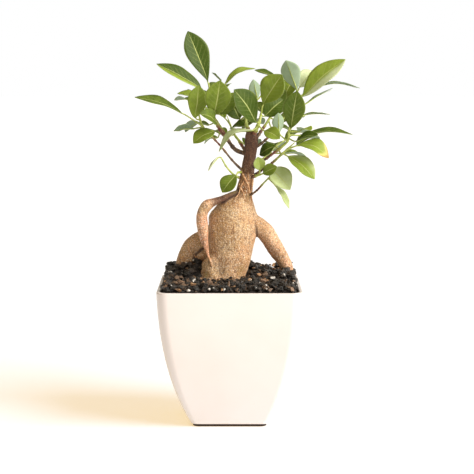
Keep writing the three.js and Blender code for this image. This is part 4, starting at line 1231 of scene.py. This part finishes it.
rootlet = two_tone("pale_rootlet", 0.7, (176, 118, 74), (232, 190, 144), scale=0.8, detail=3.0)
strand_bm = bmesh.new()
strands = [(vectors(rows), [STRAND_SHARE * radius for radius in radii]) for rows, radii in STRANDS]
for rows, radii in FINE_ROOTS:
    line = []
    for x, z in rows:
        touch, normal, _, _ = wood_tree.ray_cast(Vector((x, IN_FRONT, z)), Vector((0, 1, 0)))
        if touch is None:
            print("no bark behind", x, z)
        else:
            line.append(touch + normal * ROOTLET_LIFT)
    strands.append((line, radii))

for line, radii in strands:
    def strand_radius(t, angle, radii=radii):
        return along(radii, t) * (1 + ROOTLET_WAVE * math.sin(21 * t + 2 * angle))

    add_tube(strand_bm, line, strand_radius, sides=10, rings=24)
finish_piece("thin_roots", strand_bm, [rootlet])

# %% [markdown]
# ## Potting mix
#
# Bonsai grit is chips of dark bark and lava, with white perlite and tan grains between them. Each grain is the convex
# hull of a few points that are thrown at random onto an egg shape, which gives flat faces and sharp edges with
# very few triangles. They lie on a dark bed, so that no gap shows through. The bed heaps up from the rim, with a
# mound under the body, a pile at the left root and banks at the sides, and some grains lie on the rim's slope.

# %% The bed
SOIL_EDGE = 116.2
SOIL_RIM = 4
SOIL_SLOPE = 0.05
SOIL_HEAP = 7
MOUND_HEIGHT, MOUND_PLACE, MOUND_REACH, MOUND_FRONT = 8, (-5, 5), (28, 52), (-18, 8)
MOUND_RIGHT, MOUND_RIGHT_DROP = (10, 28), 0.4
PILE_HEIGHT, PILE_PLACE, PILE_SIZE = 7, (-27, 1), (10, 9)
BANK_HEIGHT, BANK_SIDES, BANK_FRONT = 2.5, (36, 50), (-40, -10)
LUMP_HEIGHT = 1.3
BED_GAP = 0.5
BED_HALF = INNER_HALF - BED_GAP
BED_CORNER = 9.0
BED_STEPS = 56
BED_SINK, BED_ROUGH, BED_DEPTH = 1.6, 1.2, 12


def ground(x, y):
    """The height of the mix at a place."""
    rim = ease(0, SOIL_RIM, INNER_HALF - max(abs(x), abs(y)))
    reach = math.hypot(x - MOUND_PLACE[0], y - MOUND_PLACE[1])
    right = 1 - MOUND_RIGHT_DROP * ease(*MOUND_RIGHT, x)
    mound = MOUND_HEIGHT * (1 - ease(*MOUND_REACH, reach)) * ease(*MOUND_FRONT, y) * right
    pile_x, pile_y = (x - PILE_PLACE[0]) / PILE_SIZE[0], (y - PILE_PLACE[1]) / PILE_SIZE[1]
    pile = PILE_HEIGHT * math.exp(-(pile_x**2) - pile_y**2)
    bank = BANK_HEIGHT * ease(*BANK_SIDES, abs(x)) * ease(*BANK_FRONT, y)
    lumps = LUMP_HEIGHT * math.sin(x * 0.41 + 1.3) * math.cos(y * 0.37) + math.sin(x * 0.23 - y * 0.29)
    return SOIL_EDGE + mound + pile + (SOIL_HEAP + SOIL_SLOPE * y + lumps + bank) * rim


dark_mix = two_tone("dark_grit", 0.55, (18, 14, 12), (50, 40, 32), scale=0.8, detail=4.0, distance=0.0005,
                    strength=0.8)
bed_bm = bmesh.new()
bmesh.ops.create_grid(bed_bm, x_segments=BED_STEPS, y_segments=BED_STEPS, size=BED_HALF)
rim = [e for e in bed_bm.edges if e.is_boundary]
flat = BED_HALF - BED_CORNER
for vert in bed_bm.verts:
    # what lies past the flat part is drawn in, so that the square gets the pot's round corners
    over = Vector((max(abs(vert.co.x) - flat, 0), max(abs(vert.co.y) - flat, 0)))
    if over.x > 0 and over.y > 0:
        over *= max(over.x, over.y) / over.length
        vert.co.x = math.copysign(flat + over.x, vert.co.x)
        vert.co.y = math.copysign(flat + over.y, vert.co.y)
    rough = BED_ROUGH * noise.noise(Vector((vert.co.x, vert.co.y, 0)) * 0.4)
    vert.co.z = ground(vert.co.x, vert.co.y) - BED_SINK + rough
skirt = bmesh.ops.extrude_edge_only(bed_bm, edges=rim)["geom"]
for vert in [g for g in skirt if isinstance(g, bmesh.types.BMVert)]:
    vert.co.z = SOIL_EDGE - BED_DEPTH
bmesh.ops.contextual_create(bed_bm, geom=[g for g in skirt if isinstance(g, bmesh.types.BMEdge)])
bmesh.ops.recalc_face_normals(bed_bm, faces=bed_bm.faces)
finish_piece("mix_bed", bed_bm, [dark_mix], ["potting_mix"])

# %% Grains
bark_chip, chip_shader = new_finish("bark_chip", 0.5, Coat_Weight=0.1, Coat_Roughness=0.3)
chip_grain = speckle(bark_chip, millimetres(bark_chip), 0.7, 4.0)
chip_tone = stored(bark_chip, "tone")
chip_colour = blend(bark_chip, chip_tone, shade(12, 10, 9), shade(58, 44, 33))
chip_colour = blend(bark_chip, spread(bark_chip, chip_tone, 0.72, 1.0), chip_colour, shade(140, 108, 82))
chip_colour = layered(bark_chip, chip_colour, (chip_grain, 0.22, shade(98, 92, 78)))
feed(bark_chip, chip_shader.inputs["Base Color"], chip_colour)
relief(bark_chip, chip_shader, chip_grain, distance=0.0006, strength=0.9)

tan_grain = two_tone("tan_grain", 0.7, (138, 100, 70), (190, 150, 108), scale=0.6, detail=3.0, distance=0.0004,
                     strength=0.8)
perlite = two_tone("perlite", 0.8, (206, 196, 182), (246, 240, 230), scale=0.9, detail=3.0, distance=0.0005,
                   strength=0.8)

SLOPE_BAND = (0.6, 4.5)
SLOPE_SHRINK = 0.6
RIM_GAP, RIM_CLEAR, WALL_CLEAR = 0.5, 0.3, 0.45
WOOD_OVERLAP = 0.5
NARROWNESS = (0.55, 0.9)
TILT = 0.7
GRAIN_CORNERS = 11


def scatter_grains(name, count, sizes, flatness, lift, on_slope, material, seed):
    """A piece of loose grains on the bed, clear of the wood and the pot. on_slope of them lie on the rim's slope."""
    throw = random.Random(seed)
    grains = bmesh.new()
    tone_layer = grains.verts.layers.float.new("tone")
    made = 0
    while made < count:
        size = sizes[0] + (sizes[1] - sizes[0]) * throw.random() ** 2
        x, y = throw.uniform(-INNER_HALF, INNER_HALF), throw.uniform(-INNER_HALF, INNER_HALF)
        if throw.random() < on_slope:
            size = sizes[0] + (size - sizes[0]) * SLOPE_SHRINK
            y = math.copysign(INNER_HALF - throw.uniform(*SLOPE_BAND), y)
            if throw.random() < 0.5:
                x, y = y, x
        height = ground(x, y) + throw.uniform(*lift)
        # a grain may lean over the rim where it lies above it, and else stays clear of the wall
        limit = INNER_HALF - (RIM_GAP if height > POT_HEIGHT + size * RIM_CLEAR else size * WALL_CLEAR)
        corner = Vector((max(abs(x) - limit + BED_CORNER, 0), max(abs(y) - limit + BED_CORNER, 0)))
        spot = Vector((x, y, height))
        touch, normal, _, gap = wood_tree.find_nearest(spot)
        in_wood = (spot - touch).dot(normal) < 0 and gap > WOOD_OVERLAP
        if corner.length > BED_CORNER or in_wood:
            continue
        made += 1
        stretch = Vector((size / 2, size / 2 * throw.uniform(*NARROWNESS), size / 2 * throw.uniform(*flatness)))
        turn = Matrix.Rotation(throw.uniform(0, TURN), 3, "Z") @ Matrix.Rotation(throw.gauss(0, TILT), 3, "X")
        corners = []
        for _ in range(GRAIN_CORNERS):
            way = Vector((throw.gauss(0, 1), throw.gauss(0, 1), throw.gauss(0, 1))).normalized()
            corners.append(grains.verts.new(spot + turn @ (way * stretch)))
        tone = throw.random() ** 2
        for vert in corners:
            vert[tone_layer] = tone
        inside = bmesh.ops.convex_hull(grains, input=corners)["geom_interior"]
        bmesh.ops.delete(grains, geom=[g for g in inside if isinstance(g, bmesh.types.BMVert)], context="VERTS")
    bmesh.ops.recalc_face_normals(grains, faces=grains.faces)
    finish_piece(name, grains, [material])


scatter_grains("bark_chips", count=1250, sizes=(3.5, 10.5), flatness=(0.35, 0.8), lift=(-1.2, 2.2), on_slope=0.3,
               material=bark_chip, seed=21)
scatter_grains("tan_grains", count=50, sizes=(3.0, 6.0), flatness=(0.5, 0.9), lift=(0.6, 2.8), on_slope=0.2,
               material=tan_grain, seed=22)
scatter_grains("perlite_grains", count=56, sizes=(2.5, 5.0), flatness=(0.6, 0.95), lift=(1.0, 3.0), on_slope=0.15,
               material=perlite, seed=23)
